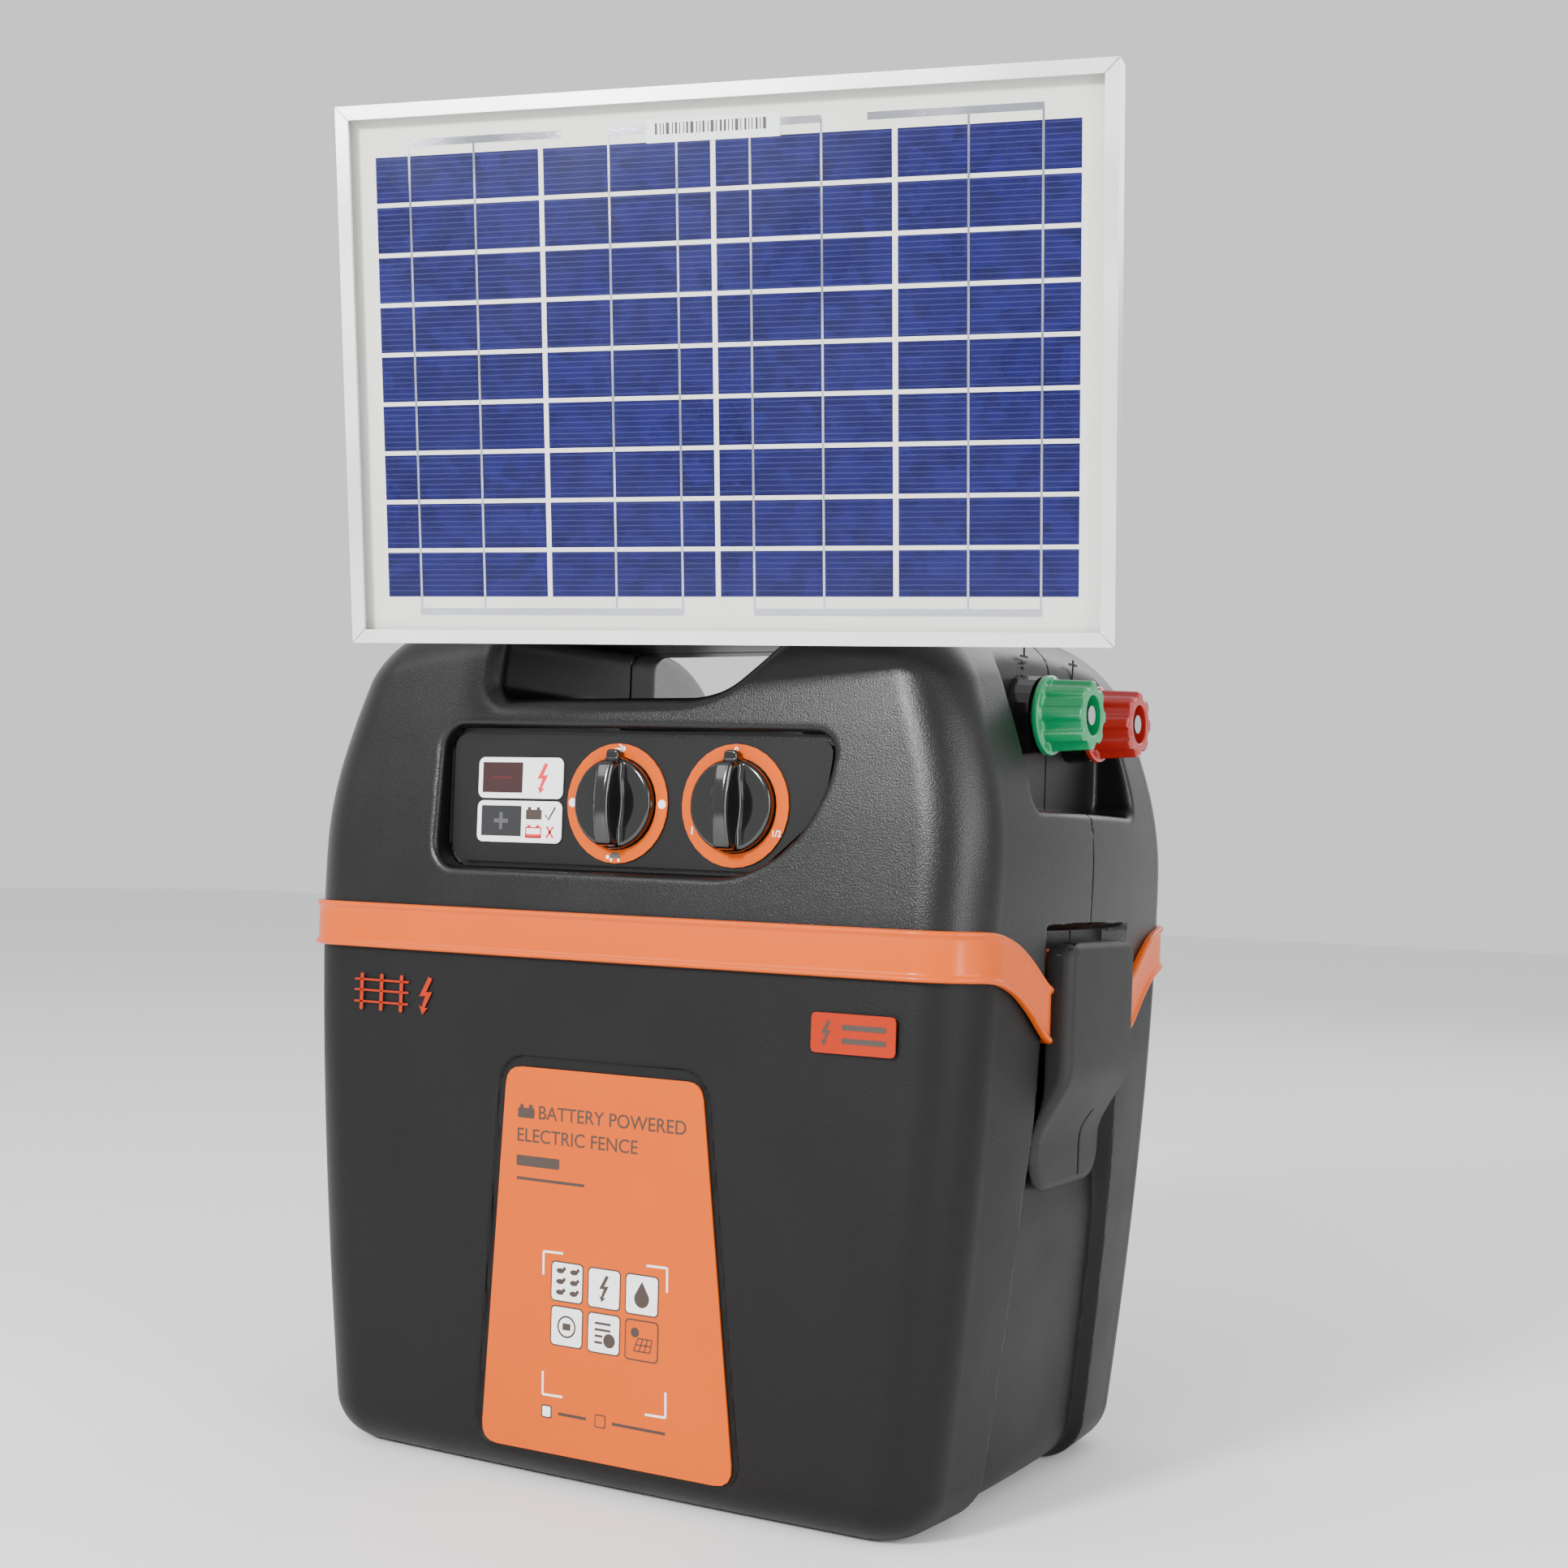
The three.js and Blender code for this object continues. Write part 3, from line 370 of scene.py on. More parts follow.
def glass_material():
    """Thin clear pane: see-through with a fresnel reflection, slightly pebbled."""
    m = bpy.data.materials.new("pane_glass")
    m.use_nodes = True
    nt = m.node_tree
    nt.nodes.remove(nt.nodes["Principled BSDF"])
    out = nt.nodes["Material Output"]
    clear = nt.nodes.new("ShaderNodeBsdfTransparent")
    clear.inputs["Color"].default_value = (0.97, 0.98, 0.98, 1)
    shine = nt.nodes.new("ShaderNodeBsdfGlossy")
    shine.inputs["Roughness"].default_value = 0.12
    fres = nt.nodes.new("ShaderNodeFresnel")
    fres.inputs["IOR"].default_value = 1.13
    mix = nt.nodes.new("ShaderNodeMixShader")
    coord = nt.nodes.new("ShaderNodeTexCoord")
    noise = nt.nodes.new("ShaderNodeTexNoise")
    noise.inputs["Scale"].default_value = 700
    bump = nt.nodes.new("ShaderNodeBump")
    bump.inputs["Strength"].default_value = 0.15
    bump.inputs["Distance"].default_value = 0.0001
    nt.links.new(coord.outputs["Object"], noise.inputs["Vector"])
    nt.links.new(noise.outputs["Fac"], bump.inputs["Height"])
    nt.links.new(bump.outputs["Normal"], shine.inputs["Normal"])
    nt.links.new(fres.outputs["Fac"], mix.inputs["Fac"])
    nt.links.new(clear.outputs["BSDF"], mix.inputs[1])
    nt.links.new(shine.outputs["BSDF"], mix.inputs[2])
    nt.links.new(mix.outputs["Shader"], out.inputs["Surface"])
    return m


CELL = cell_material()
GLASS = glass_material()

# ---------------------------------------------------------------- sizes shared with the CAD
R_CORNER = 27.0
SPLIT = 222.0
DIP_Y = [0, 37.9, 44.5, 52, 62, 74, 84, 94, 150]
DIP_F = [1.0, 1.0, 1.0, 0.8, 0.5, 0.22, 0.08, 0, 0]
DIP_FINE = np.linspace(0, 150, 151)
_k = np.exp(-0.5 * (np.arange(-9, 10) / 3.0) ** 2)
_raw = np.interp(np.abs(np.arange(-9, 160)), DIP_Y, DIP_F)
DIP_EASED = np.convolve(_raw, _k / _k.sum(), mode="valid")
YAW, TILT = 0.2485, 0.1607
FACING = Vector((math.sin(YAW), -math.cos(YAW), 0))
NORMAL = Vector((FACING.x * math.cos(TILT), FACING.y * math.cos(TILT), -math.sin(TILT)))
PIN = Vector((68.6, -154.8, 448.2)) - NORMAL * 30
PANEL_M = (Matrix.Translation(PIN * MM) @ Matrix.Rotation(YAW, 4, "Z") @ Matrix.Rotation(TILT, 4, "X"))
DIALS = {"mode": (-2.3, 282.8), "power": (54.7, 282.8)}
FACE_Y = -102.8


def dip(y):
    """0 along the front and back, 1 beside the latches: how far the joint line has dropped."""
    return np.interp(np.abs(y), DIP_FINE, DIP_EASED[:151])


def plan(x, y, a, b, bow_side, bow_front, r=R_CORNER, notch=0.0):
    """Distance from a rounded rectangle with bowed sides, in the plan."""
    aa = a + bow_side * np.clip(1 - (y / (b - r)) ** 2, 0, 1) - notch
    bb = b + bow_front * np.clip(1 - (x / (a - r)) ** 2, 0, 1)
    qx, qy = np.abs(x) - (aa - r), np.abs(y) - (bb - r)
    u, v = np.maximum(qx, 0), np.maximum(qy, 0)
    return np.sqrt(u * u + v * v) + np.minimum(np.maximum(qx, qy), 0) - r


def ramp(t, lo, hi):
    s = np.clip((t - lo) / (hi - lo), 0, 1)
    return s * s * (3 - 2 * s)


# ---------------------------------------------------------------- tub
NOTCH_D = smooth_table([[0, 5.5], [116, 5.5], [130, 7.6], [160, 9], [260, 9]], 5)
NOTCH_M = smooth_table([[0, 54], [130, 48.5], [160, 45], [260, 45]], 5)
NOTCH_F = smooth_table([[0, 50], [130, 44.5], [160, 38.6], [260, 38.6]], 5)


def tub_side(x, y, z, wider=0.0):
    g = 1 - np.clip(1 - z / 237.3, 0, 1) ** 1.584
    a, b = 146.3 + 18.7 * g, 109.6 + 2.75 * g
    m, f = NOTCH_M(z) + wider, NOTCH_F(z) + wider
    notch = NOTCH_D(z) * np.clip((m - np.abs(y)) / (m - f), 0, 1)
    return plan(x, y, a, b, 3.2, 1.5, notch=notch)


LABEL_SHAPE = [(-54.7, 15), (68.6, 15.5), (49.5, 173.3), (-46.7, 173)]


def tub_shape(x, y, z):
    side = tub_side(x, y, z)
    outer = cut_round(side, -z, 19.0)
    pocket = np.maximum(polygon(x, z, LABEL_SHAPE, 9) - 3.0, y + 110.5 + 0.0134 * (z - 94))
    outer = cut_round(outer, -pocket, 1.4)
    inner = cut_round(tub_side(x, y, z, 5.5) + 3.4, 3.5 - z, 16.0)
    inner = cut_round(inner, 2.8 - pocket, 1.0)
    shell = np.maximum(outer, -inner)
    line = SPLIT - 24 * dip(y) - 0.2
    shell = cut_round(shell, (z - line) * 0.9, 0.7)
    rib = cube(np.abs(x), y, z, (153, -30, 163), (159.6, 30, 166), 0.8)
    shell = join_round(shell, rib, 0.8)
    ends = cube(np.abs(x), y, z, (100.3, -40, 2), (103.3, 40, 22), 0.8)
    sides = cube(x, np.abs(y), z, (-60, 65.3, 2), (60, 68.3, 22), 0.8)
    return np.minimum(np.minimum(shell, ends), sides)


def place(ob, body, *nodes):
    if nodes:
        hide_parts(*nodes)
    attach(ob, body)
    return ob


place(implicit("tub_shell", tub_shape, (-170, -115, 0), (170, 115, 223), STEP, TUB), "tub", "tub")

# ---------------------------------------------------------------- upper housing
LID_A = smooth_table([[150, 164.9], [240, 165], [254, 165.6], [266, 165.8], [277, 165], [288, 163.4],
                      [300, 160.8], [322, 154], [342, 147], [352, 143], [380, 130]], 5)
LID_B = smooth_table([[150, 112.3], [240, 112], [280, 109.5], [316, 106.5], [342, 103.5], [380, 97.5]], 5)
HOLE = [(-66, 327), (44, 327), (62, 338), (79, 356), (-66, 356)]
NOTCH = [(-76, 327), (44, 327), (62, 338), (100, 380), (-104, 380)]
CTRL = [(-91, 254), (68, 253.5), (98, 280), (103, 312.5), (-91, 315.5)]


def lid_solid(x, y, z, wider=0.0):
    below = ramp(-z, -239.5 - 1.5 * wider, -236.3 - wider)
    notch = 9.0 * below * np.clip((45 + wider - np.abs(y)) / 6.4, 0, 1)
    side = plan(x, y, LID_A(z), LID_B(z), 3.2, 1.2, r=26.0, notch=notch)
    top = 371.9 - 10 * (np.abs(x) / 130) ** 4 - 8 * (np.abs(y) / 95) ** 4
    body = cut_round(side, z - top, 15.0)
    body = cut_round(body, -polygon(x, z, HOLE, 7), 8.0)
    body = cut_round(body, -cut_round(polygon(x, z, NOTCH, 9), 26 - y, 3.0), 7.0)
    recess = np.maximum(polygon(x, z, CTRL, 11), y + 100.0)
    body = cut_round(body, -recess, 2.6)
    across = cut_round(np.abs(y) - 56, 285 - z, 7)
    pocket = cut_round(across, 146 - x, 2.0)
    return cut_round(body, -pocket, 3.0)


def lid_half(sign):
    def shape(x, y, z):
        body = lid_solid(x, y, z)
        wall = 3.0 + 2.2 * ramp(z, 296, 312)
        shell = np.maximum(body, -(lid_solid(x, y, z, 5.0) + wall))
        line = SPLIT - 24 * dip(y) + 0.2
        shell = cut_round(shell, (line - z) * 0.9, 0.7)
        return cut_round(shell, sign * y + 0.12, 0.45)
    return shape


place(implicit("upper_housing_front", lid_half(1), (-171, -115, 194), (171, 0, 373), STEP, LID),
      "lid", "housing_front")
place(implicit("upper_housing_rear", lid_half(-1), (-171, 0, 194), (171, 115, 373), STEP, LID),
      "lid", "housing_rear")


# ---------------------------------------------------------------- orange band
def band_outline():
    """Plan path of the band's inner face, with its outward direction."""
    a, b, r = 165.2, 112.7, 27.2
    pts = []

    def side_x(y):
        if abs(y) > 39.6:
            notch = 2.2 * np.clip((45 - abs(y)) / 5.4, 0, 1)
        elif abs(y) > 38.6:
            notch = 2.2 + (39.6 - abs(y)) * 6.8
        else:
            notch = 9.0
        return a + 3.3 * max(0, 1 - (y / (b - r)) ** 2) - notch

    half = np.concatenate([np.linspace(38.5, 39.4, 5), np.linspace(39.7, 44.2, 8),
                           np.linspace(45, b - r, 26)])
    ys = np.concatenate([-half[::-1], np.linspace(-36, 36, 13), half])
    pts += [(side_x(y), y) for y in ys]
    arc = np.linspace(0, math.pi / 2, 20)[1:-1]
    pts += [(a - r + r * math.cos(t), b - r + r * math.sin(t)) for t in arc]
    xs = np.linspace(a - r, -(a - r), 60)
    front = [b + 1.5 * max(0, 1 - (x / (a - r)) ** 2) for x in xs]
    pts += list(zip(xs, front))
    pts += [(-(a - r) - r * math.sin(t), b - r + r * math.cos(t)) for t in arc]
    pts += [(-side_x(y), y) for y in ys[::-1]]
    pts += [(-(a - r) - r * math.cos(t), -(b - r) - r * math.sin(t)) for t in arc]
    pts += [(-x, -f) for x, f in zip(xs, front)]
    pts += [(a - r + r * math.sin(t), -(b - r) - r * math.cos(t)) for t in arc]
    p = np.array(pts, float)
    t = np.roll(p, -1, 0) - np.roll(p, 1, 0)
    nrm = np.stack([t[:, 1], -t[:, 0]], 1)
    nrm /= np.linalg.norm(nrm, axis=1)[:, None]
    return p, nrm


def band():
    p, nrm = band_outline()
    s = dip(p[:, 1])
    inner = np.abs(p[:, 1]) < 38.7
    top = np.where(inner, 229.0, 237.0 - 23 * s)
    low = np.where(inner, 196.0, 217.3 - 26 * s)
    # profile across the band: offset outwards, share of the height, extra height in mm
    lip = [(0, 0.2), (1.7, 0), (2.7, 0.3), (3.1, 0.9), (3.1, 1.5), (2.75, 2.1), (2.1, 2.7), (2.0, 3.6)]
    prof = [(off, 0, up) for off, up in lip] + [(2.0, 0.5, 0)] + [(off, 1, -up) for off, up in lip[::-1]]
    n, m = len(p), len(prof)
    verts = []
    for i in range(n):
        for off, share, extra in prof:
            z = low[i] + (top[i] - low[i]) * share + extra
            verts.append((p[i, 0] + nrm[i, 0] * off, p[i, 1] + nrm[i, 1] * off, z))
    faces = []
    for i in range(n):
        k = (i + 1) % n
        for j in range(m):
            j2 = (j + 1) % m
            faces.append([i * m + j, k * m + j, k * m + j2, i * m + j2])
    ob = make("orange_band", verts, faces, ORANGE, sharp=50)
    fix_normals(ob)
    return ob


place(band(), "lid", "band_ring")
for sx in (1, -1):
    for y0 in (-30, 25):
        def f(x, y, z, sx=sx, y0=y0):
            ear = polygon(sx * x, z, [(161, 217.6), (172, 221.8), (172, 228.8), (161, 227.0)], 2.6)
            ear = cut_round(ear, np.abs(y - y0 - 2.5) - 2.5, 0.5)
            return cut_round(ear, -(np.hypot(sx * x - 169, z - 226) - 1.8), 0.2)
        lo = (161, y0, 217) if sx > 0 else (-173, y0, 217)
        place(implicit(f"band_ear_{'r' if sx > 0 else 'l'}{'f' if y0 < 0 else 'b'}", f, lo,
                       (lo[0] + 12, y0 + 5, 230), 0.7, ORANGE), "lid")

# ---------------------------------------------------------------- latches
LATCH_OUT = smooth_table([[110, 162], [150, 162], [153, 162.3], [176, 176], [240, 176.4]], 4)
LATCH_IN = smooth_table([[110, 158], [150, 158], [170, 164.2], [240, 164.0]], 3)


def latch_shape(sx):
    def shape(x, y, z):
        x = sx * x
        face = LATCH_OUT(z)
        crown = 1.1 * (y / 36.5) ** 2
        outline = polygon(y, z, [(-36.5, 129.2), (36.5, 129.2), (36.5, 231.9), (-36.5, 231.9)], 8)
        low = cut_round(np.abs(y) - 36.4, 129.2 - z, 15)
        outline = np.maximum(outline, low)
        solid = cut_round((x - face + crown) * 0.87, outline, 4.2)
        solid = cut_round(solid, LATCH_IN(z) - x, 0.6)
        pivot = np.sqrt((x - 169) ** 2 + (z - 226) ** 2) - 6.1
        solid = np.where((x < 169) & (z > 226), np.maximum(solid, pivot), solid)
        hollow = cube(x, y, z, (150, -33.5, 166 + np.maximum(0, x - 164) * 1.1), (172.8, 33.5, 229.8), 1.0)
        solid = np.maximum(solid, -hollow)
        slot = np.maximum(np.maximum(np.abs(np.abs(y) - 27.5) - 3.1, x - 172.8), 226 - z)
        solid = np.maximum(solid, -slot)
        tooth = cube(x, y, z, (157.4, -24, 158.2), (163, 24, 162.4), 0.4)
        solid = np.minimum(solid, tooth)
        # finger slit in the lower tab: straight, then bending back at its top
        bend = np.where(z > 152, (z - 152) ** 2 / 22.0, 0)
        slit = np.maximum(np.abs(y - 9.5 - bend) - 0.9, np.abs(z - 147) - 13.5)
        slit = np.maximum(slit, face - 3.4 - x)
        return cut_round(solid, -slit, 0.5)
    return shape


for side, sx in (("right", 1), ("left", -1)):
    lo = (157, -37, 129) if sx > 0 else (-177.5, -37, 129)
    hi = (177.5, 37, 232.5) if sx > 0 else (-157, 37, 232.5)
    place(implicit(f"{side}_latch_body", latch_shape(sx), lo, hi, 0.75, RUBBER),
          f"{side}_latch", f"latch_{side}")


# ---------------------------------------------------------------- knobs on the dials
def dial_knob(cx, cz):
    def shape(x, y, z):
        u, v, h = x - cx, z - cz, FACE_Y - y
        rad = np.sqrt(u * u + v * v)
        base = cut_round(rad - 18.9, h - 5.0, 1.6)
        base = cut_round(base, -h, 0.1)
        dish = np.maximum(np.sqrt(rad ** 2 + (h - 33) ** 2) - 29.6, rad - 15.8)
        base = cut_round(base, -dish, 1.0)
        width = 3.2 + 0.165 * np.maximum(0, 14.5 - h)
        grip = cut_round(np.abs(u) - width, np.sqrt(v * v + (np.maximum(h, 0) * 0.35) ** 2) - 17.8, 1.8)
        crown = h - (13.8 - 0.010 * v * v)
        grip = cut_round(grip, crown, 1.8)
        grip = np.maximum(grip, 1.0 - h)
        knob = join_round(base, grip, 1.6)
        nub = cut_round(np.abs(u) - (3.6 - np.maximum(0, v - 14) * 0.09), np.abs(v - 17.0) - 5.4, 1.6)
        nub = cut_round(nub, np.abs(h - 3.4) - 2.4, 0.9)
        knob = join_round(knob, nub, 1.2)
        shaft = np.maximum(rad - 3, np.maximum(h - 3, y + 86.5))
        return np.minimum(knob, shaft)
    return shape


for name, (cx, cz) in DIALS.items():
    place(implicit(f"{name}_knob_body", dial_knob(cx, cz),
                   (cx - 19.5, -117.5, cz - 19.5), (cx + 19.5, -86, cz + 23), 0.42, GLOSS),
          f"{name}_selector", f"{name}_knob")


# ---------------------------------------------------------------- terminals
def wing_knob(cy):
    x0, cz = 156.9, 324.5

    def shape(x, y, z):
        u, v, h = y - cy, z - cz, x - x0
        rad = np.sqrt(u * u + v * v)
        ang = np.arctan2(v, u)
        flange = cut_round(rad - 16.5, np.abs(h - 1.5) - 1.5, 0.9)
        lobe = np.cos(8 * ang)
        wall = 13.9 - 0.045 * h + 1.1 * np.tanh(lobe * 2.2)
        body = cut_round((rad - wall) * 0.85, h - 20.9, 1.3)
        body = np.maximum(body, -h + 1)
        knob = join_round(flange, body, 1.2)
        cup = cut_round(rad - 8.2, 12 - h, 0.6)
        knob = cut_round(knob, -cup, 0.7)
        return np.maximum(knob, 4.4 - rad)
    return shape


for name, cy, mat in (("earth", -27, GREEN), ("fence", 27, RED)):
    place(implicit(f"{name}_knob_body", wing_knob(cy), (156.8, cy - 17, 307), (178.2, cy + 17, 342),
                   0.42, mat), f"{name}_terminal", f"{name}_knob")


# ---------------------------------------------------------------- CAD pieces that keep their shape
def dress(node, mat, width=0.0, segments=3):
    ob = NODES[node]
    ob.data.materials.clear()
    ob.data.materials.append(mat)
    if width:
        soften(ob, width, segments)
    return ob


for node, mat, width in (
        ("battery", CASE, 1.2), ("battery_post_pos", REDINK, 0.5), ("battery_post_neg", LEADM, 0.5),
        ("module_floor", INNER, 0.5), ("battery_lead_socket", INNER, 0.4), ("circuit_board", BOARD, 0.1),
        ("mode_switch", SLEEVE, 0.6), ("power_switch", SLEEVE, 0.6), ("pulse_transformer", CORE, 0.8),
        ("storage_capacitor_a", SLEEVE, 1.0), ("storage_capacitor_b", SLEEVE, 1.0),
        ("control_plate", PLATE, 0.35), ("earth_base", GLOSS, 0.8), ("fence_base", GLOSS, 0.8),
        ("earth_stud", STEEL, 0.3), ("fence_stud", STEEL, 0.3), ("earth_washer", STEEL, 0.15),
        ("fence_washer", STEEL, 0.15), ("solar_socket", INNER, 0.4), ("latch_pin_right", STEEL, 0.2),
        ("latch_pin_left", STEEL, 0.2), ("bracket_mast", BRACKET, 0.7), ("bracket_screw_1", STEEL, 0.4),
        ("bracket_screw_2", STEEL, 0.4), ("swivel_arm", BRACKET, 0.7), ("tilt_pin", STEEL, 0.4),
        ("panel_lug", BRACKET, 0.5), ("frame_top", ALU, 0.35), ("frame_bottom", ALU, 0.35),
        ("frame_left", ALU, 0.35), ("frame_right", ALU, 0.35), ("junction_box", INNER, 0.9),
        ("cable_gland", GLOSS, 0.6), ("mode_dial_ring", DIAL, 0.1), ("power_dial_ring", DIAL, 0.1),
        ("pulse_lens", LENS_R, 0.25), ("battery_lens", LENS_B, 0.25),
        ("front_label", LABEL, 0.15), ("rating_badge", BADGE, 0.15),
        ("floor_screw_1", STEEL, 0.3), ("floor_screw_2", STEEL, 0.3), ("floor_screw_3", STEEL, 0.3),
        ("floor_screw_4", STEEL, 0.3), ("panel_glass", GLASS, 0.0)):
    dress(node, mat, width)

# ---------------------------------------------------------------- solar cells under the glass
FRONT = -30.0
LAYER = FRONT + 5.45


def on_panel(ob):
    return place(ob, "panel")


def panel_box(name, x0, x1, z0, z1, y_back, thick, mat):
    m = PANEL_M @ Matrix.Translation((0, y_back * MM, 0))
    return on_panel(slab(name, [(x0, z0), (x1, z0), (x1, z1), (x0, z1)], thick, mat, m))


sheet = panel_box("backsheet", -151.6, 151.6, -103, 103, FRONT + 6.6, 1.15, BACKSHEET)
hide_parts("cell_laminate")


def panel_boxes(name, rects, y_back, thick, mat):
    """Many small flat boxes on the panel plane as one piece."""
    verts, faces = [], []
    for x0, x1, z0, z1 in rects:
        i = len(verts)
        for y in (y_back, y_back - thick):
            verts += [(x0, y, z0), (x1, y, z0), (x1, y, z1), (x0, y, z1)]
        faces += [[i + 3, i + 2, i + 1, i], [i + 4, i + 5, i + 6, i + 7]]
        faces += [[i + k, i + (k + 1) % 4, i + 4 + (k + 1) % 4, i + 4 + k] for k in range(4)]
    return on_panel(make(name, verts, faces, mat, smooth=False, matrix=PANEL_M))


COLUMNS = [(-139.7, -70.9), (-68.9, -1.1), (0.9, 69.4), (71.5, 139.9)]
ROW_TOP, ROW_PITCH, ROW_H = 86.0, 19.42, 17.7
RIBBON_X = [-125.3, -97.8, -42.0, -14.6, 14.5, 42.3, 98.2, 125.8]
rows = [ROW_TOP - ROW_PITCH * r for r in range(9)]
cells = [(x0, x1, top - ROW_H, top) for x0, x1 in COLUMNS for top in rows]
panel_boxes("cells", cells, LAYER, 0.05, CELL)
panel_boxes("ribbons", [(x - 0.42, x + 0.42, -93.0, 91.0) for x in RIBBON_X], LAYER - 0.05, 0.04, RIBBON)
buses = [(-125.5, -61.4, 89.6, 92.4), (-42.5, 42.3, 89.6, 92.4), (60, 126, 89.6, 92.4),
         (-126, -14.3, -94.4, -91.6), (14.3, 126.3, -94.4, -91.6)]
panel_boxes("bus_bars", buses, LAYER - 0.09, 0.04, RIBBON)
panel_boxes("sticker", [(-26.5, 26.5, 85.6, 94.3)], LAYER - 0.14, 0.05, WHITE)
bars = []
at = -23.0
BAR_WIDTHS = [2, 1, 1, 3, 1, 2, 1, 1, 2, 3, 1, 1, 2, 1, 3, 1, 2, 2, 1, 1, 3, 1, 2, 1, 1, 2, 1, 3]
for k, wide in enumerate(BAR_WIDTHS):
    bars.append((at, at + 0.42 * wide, 88.6, 92.9))
    at += 0.42 * wide + (0.8 if k % 3 else 1.15)
panel_boxes("sticker_bars", bars, LAYER - 0.19, 0.03, DARK)


# ---------------------------------------------------------------- prints
def print_on(body, base, normal_depth=0.0):
    """A printer for one plane: local x right, z up, ink a hair proud of the surface."""
    def put(name, pts, mat, lift=0.0, thick=0.06):
        m = base @ Matrix.Translation((0, -(normal_depth + lift) * MM, 0))
        return place(slab(name, pts, thick, mat, m), body)
    return put


def stroke(points, width):
    """A polyline with a width, as one outline."""
    left, right = [], []
    for i, p in enumerate(points):
        a = points[max(i - 1, 0)]
        b = points[min(i + 1, len(points) - 1)]
        dx, dz = b[0] - a[0], b[1] - a[1]
        ln = math.hypot(dx, dz) or 1
        left.append((p[0] - dz / ln * width / 2, p[1] + dx / ln * width / 2))
        right.append((p[0] + dz / ln * width / 2, p[1] - dx / ln * width / 2))
    return left + right[::-1]


def words(name, text, size, x, z, mat, base, body, lift=0.0, bold=0.0, align="LEFT"):
    cu = bpy.data.curves.new(name, "FONT")
    cu.body = text
    cu.size = size * MM
    cu.extrude = 0.03 * MM
    cu.offset = bold * MM
    cu.align_x = align
    ob = bpy.data.objects.new(name, cu)
    bpy.context.collection.objects.link(ob)
    upright = Matrix.Rotation(math.pi / 2, 4, "X")
    ob.matrix_world = base @ Matrix.Translation((x * MM, -lift * MM, z * MM)) @ upright
    bpy.context.view_layer.update()
    me = bpy.data.meshes.new_from_object(ob.evaluated_get(bpy.context.evaluated_depsgraph_get()))
    me.transform(ob.matrix_world)
    bpy.data.objects.remove(ob)
    out = bpy.data.objects.new(name, me)
    bpy.context.collection.objects.link(out)
    me.materials.clear()
    me.materials.append(mat)
    return place(out, body)


def bolt(cx, cz, s):
    pts = [(0.15, 1.0), (-0.42, -0.05), (-0.02, -0.02), (-0.25, -0.62), (-0.42, -0.5), (-0.18, -1.0),
           (0.18, -0.62), (-0.05, -0.66), (0.42, 0.22), (0.02, 0.18), (0.4, 0.9)]
    return [(cx + s * u, cz + s * v) for u, v in pts]


# front label: frame lies on the label's front face
LABEL_M = (Matrix.Translation((0, 0, 94 * MM)) @ Matrix.Rotation(0.0134, 4, "X")
           @ Matrix.Translation((0, -(110.5 + 1.1) * MM, 0)))
lab = print_on("tub", LABEL_M, 0.02)


def tile(name, cx, cz, fill, edge):
    lab(name, rounded_rect(cx - 8.1, cx + 8.1, cz - 8.3, cz + 8.3, 2.0), edge, 0.0)
    lab(name + "_in", rounded_rect(cx - 7.5, cx + 7.5, cz - 7.7, cz + 7.7, 1.6), fill, 0.05)


# heading: battery mark, generic words, and plain rules instead of the small print
lab("heading_battery", rounded_rect(-40.3, -31.9, 57.8, 62.0, 0.6), DARK)
lab("heading_battery_a", [(-39.3, 62), (-37.5, 62), (-37.5, 63.4), (-39.3, 63.4)], DARK)
lab("heading_battery_b", [(-34.7, 62), (-32.9, 62), (-32.9, 63.4), (-34.7, 63.4)], DARK)
words("heading_words_a", "BATTERY POWERED", 8.0, -30.2, 57.9, DARK, LABEL_M, "tub", 0.04, 0.04)
words("heading_words_b", "ELECTRIC FENCE", 8.0, -40.8, 48.0, DARK, LABEL_M, "tub", 0.04, 0.04)
lab("heading_rule_a", rounded_rect(-40.4, -18.6, 37.8, 42.2, 0.8), DARK)
lab("heading_rule_b", rounded_rect(-40.0, -5.8, 32.0, 33.2, 0.3), DARK)

TILES = [(-13.0, -7.8), (5.4, -8.1), (23.8, -8.3), (-12.6, -26.0), (5.8, -26.3), (24.2, -26.6)]
for i, (cx, cz) in enumerate(TILES):
    orange_tile = i == 5
    tile(f"tile_{i}", cx, cz, LABEL if orange_tile else WHITE, DARK)
ICON = 0.1
for i, (dx, dz) in enumerate([(-3.4, 4.4), (3.4, 4.4), (-3.4, 0), (3.4, 0), (-3.4, -4.4), (3.4, -4.4)]):
    cx, cz = TILES[0][0] + dx, TILES[0][1] + dz
    lab(f"herd_{i}", disc(cx, cz, 2.0, 16, 1.1), DARK, ICON)
    lab(f"herd_head_{i}", disc(cx + 2.0, cz + 1.0, 0.8, 12), DARK, ICON)
lab("tile_bolt", bolt(*TILES[1], 5.6), DARK, ICON)
around = np.linspace(0.6, -math.pi - 0.6, 22)
drop = [(0, 5.5)] + [(3.6 * math.cos(t), -1.6 + 3.6 * math.sin(t)) for t in around]
lab("tile_drop", [(TILES[2][0] + u, TILES[2][1] + v) for u, v in drop], DARK, ICON)
tx, tz = TILES[3]
place(ring_plate("tile_ring", tx, tz, 3.8, 4.6, 0.06, DARK,
                 LABEL_M @ Matrix.Translation((0, -0.12 * MM, 0)), 36), "tub")
lab("tile_ring_box", rounded_rect(tx - 2, tx + 2, tz - 1.4, tz + 1.4, 0.3), DARK, ICON)
tx, tz = TILES[4]
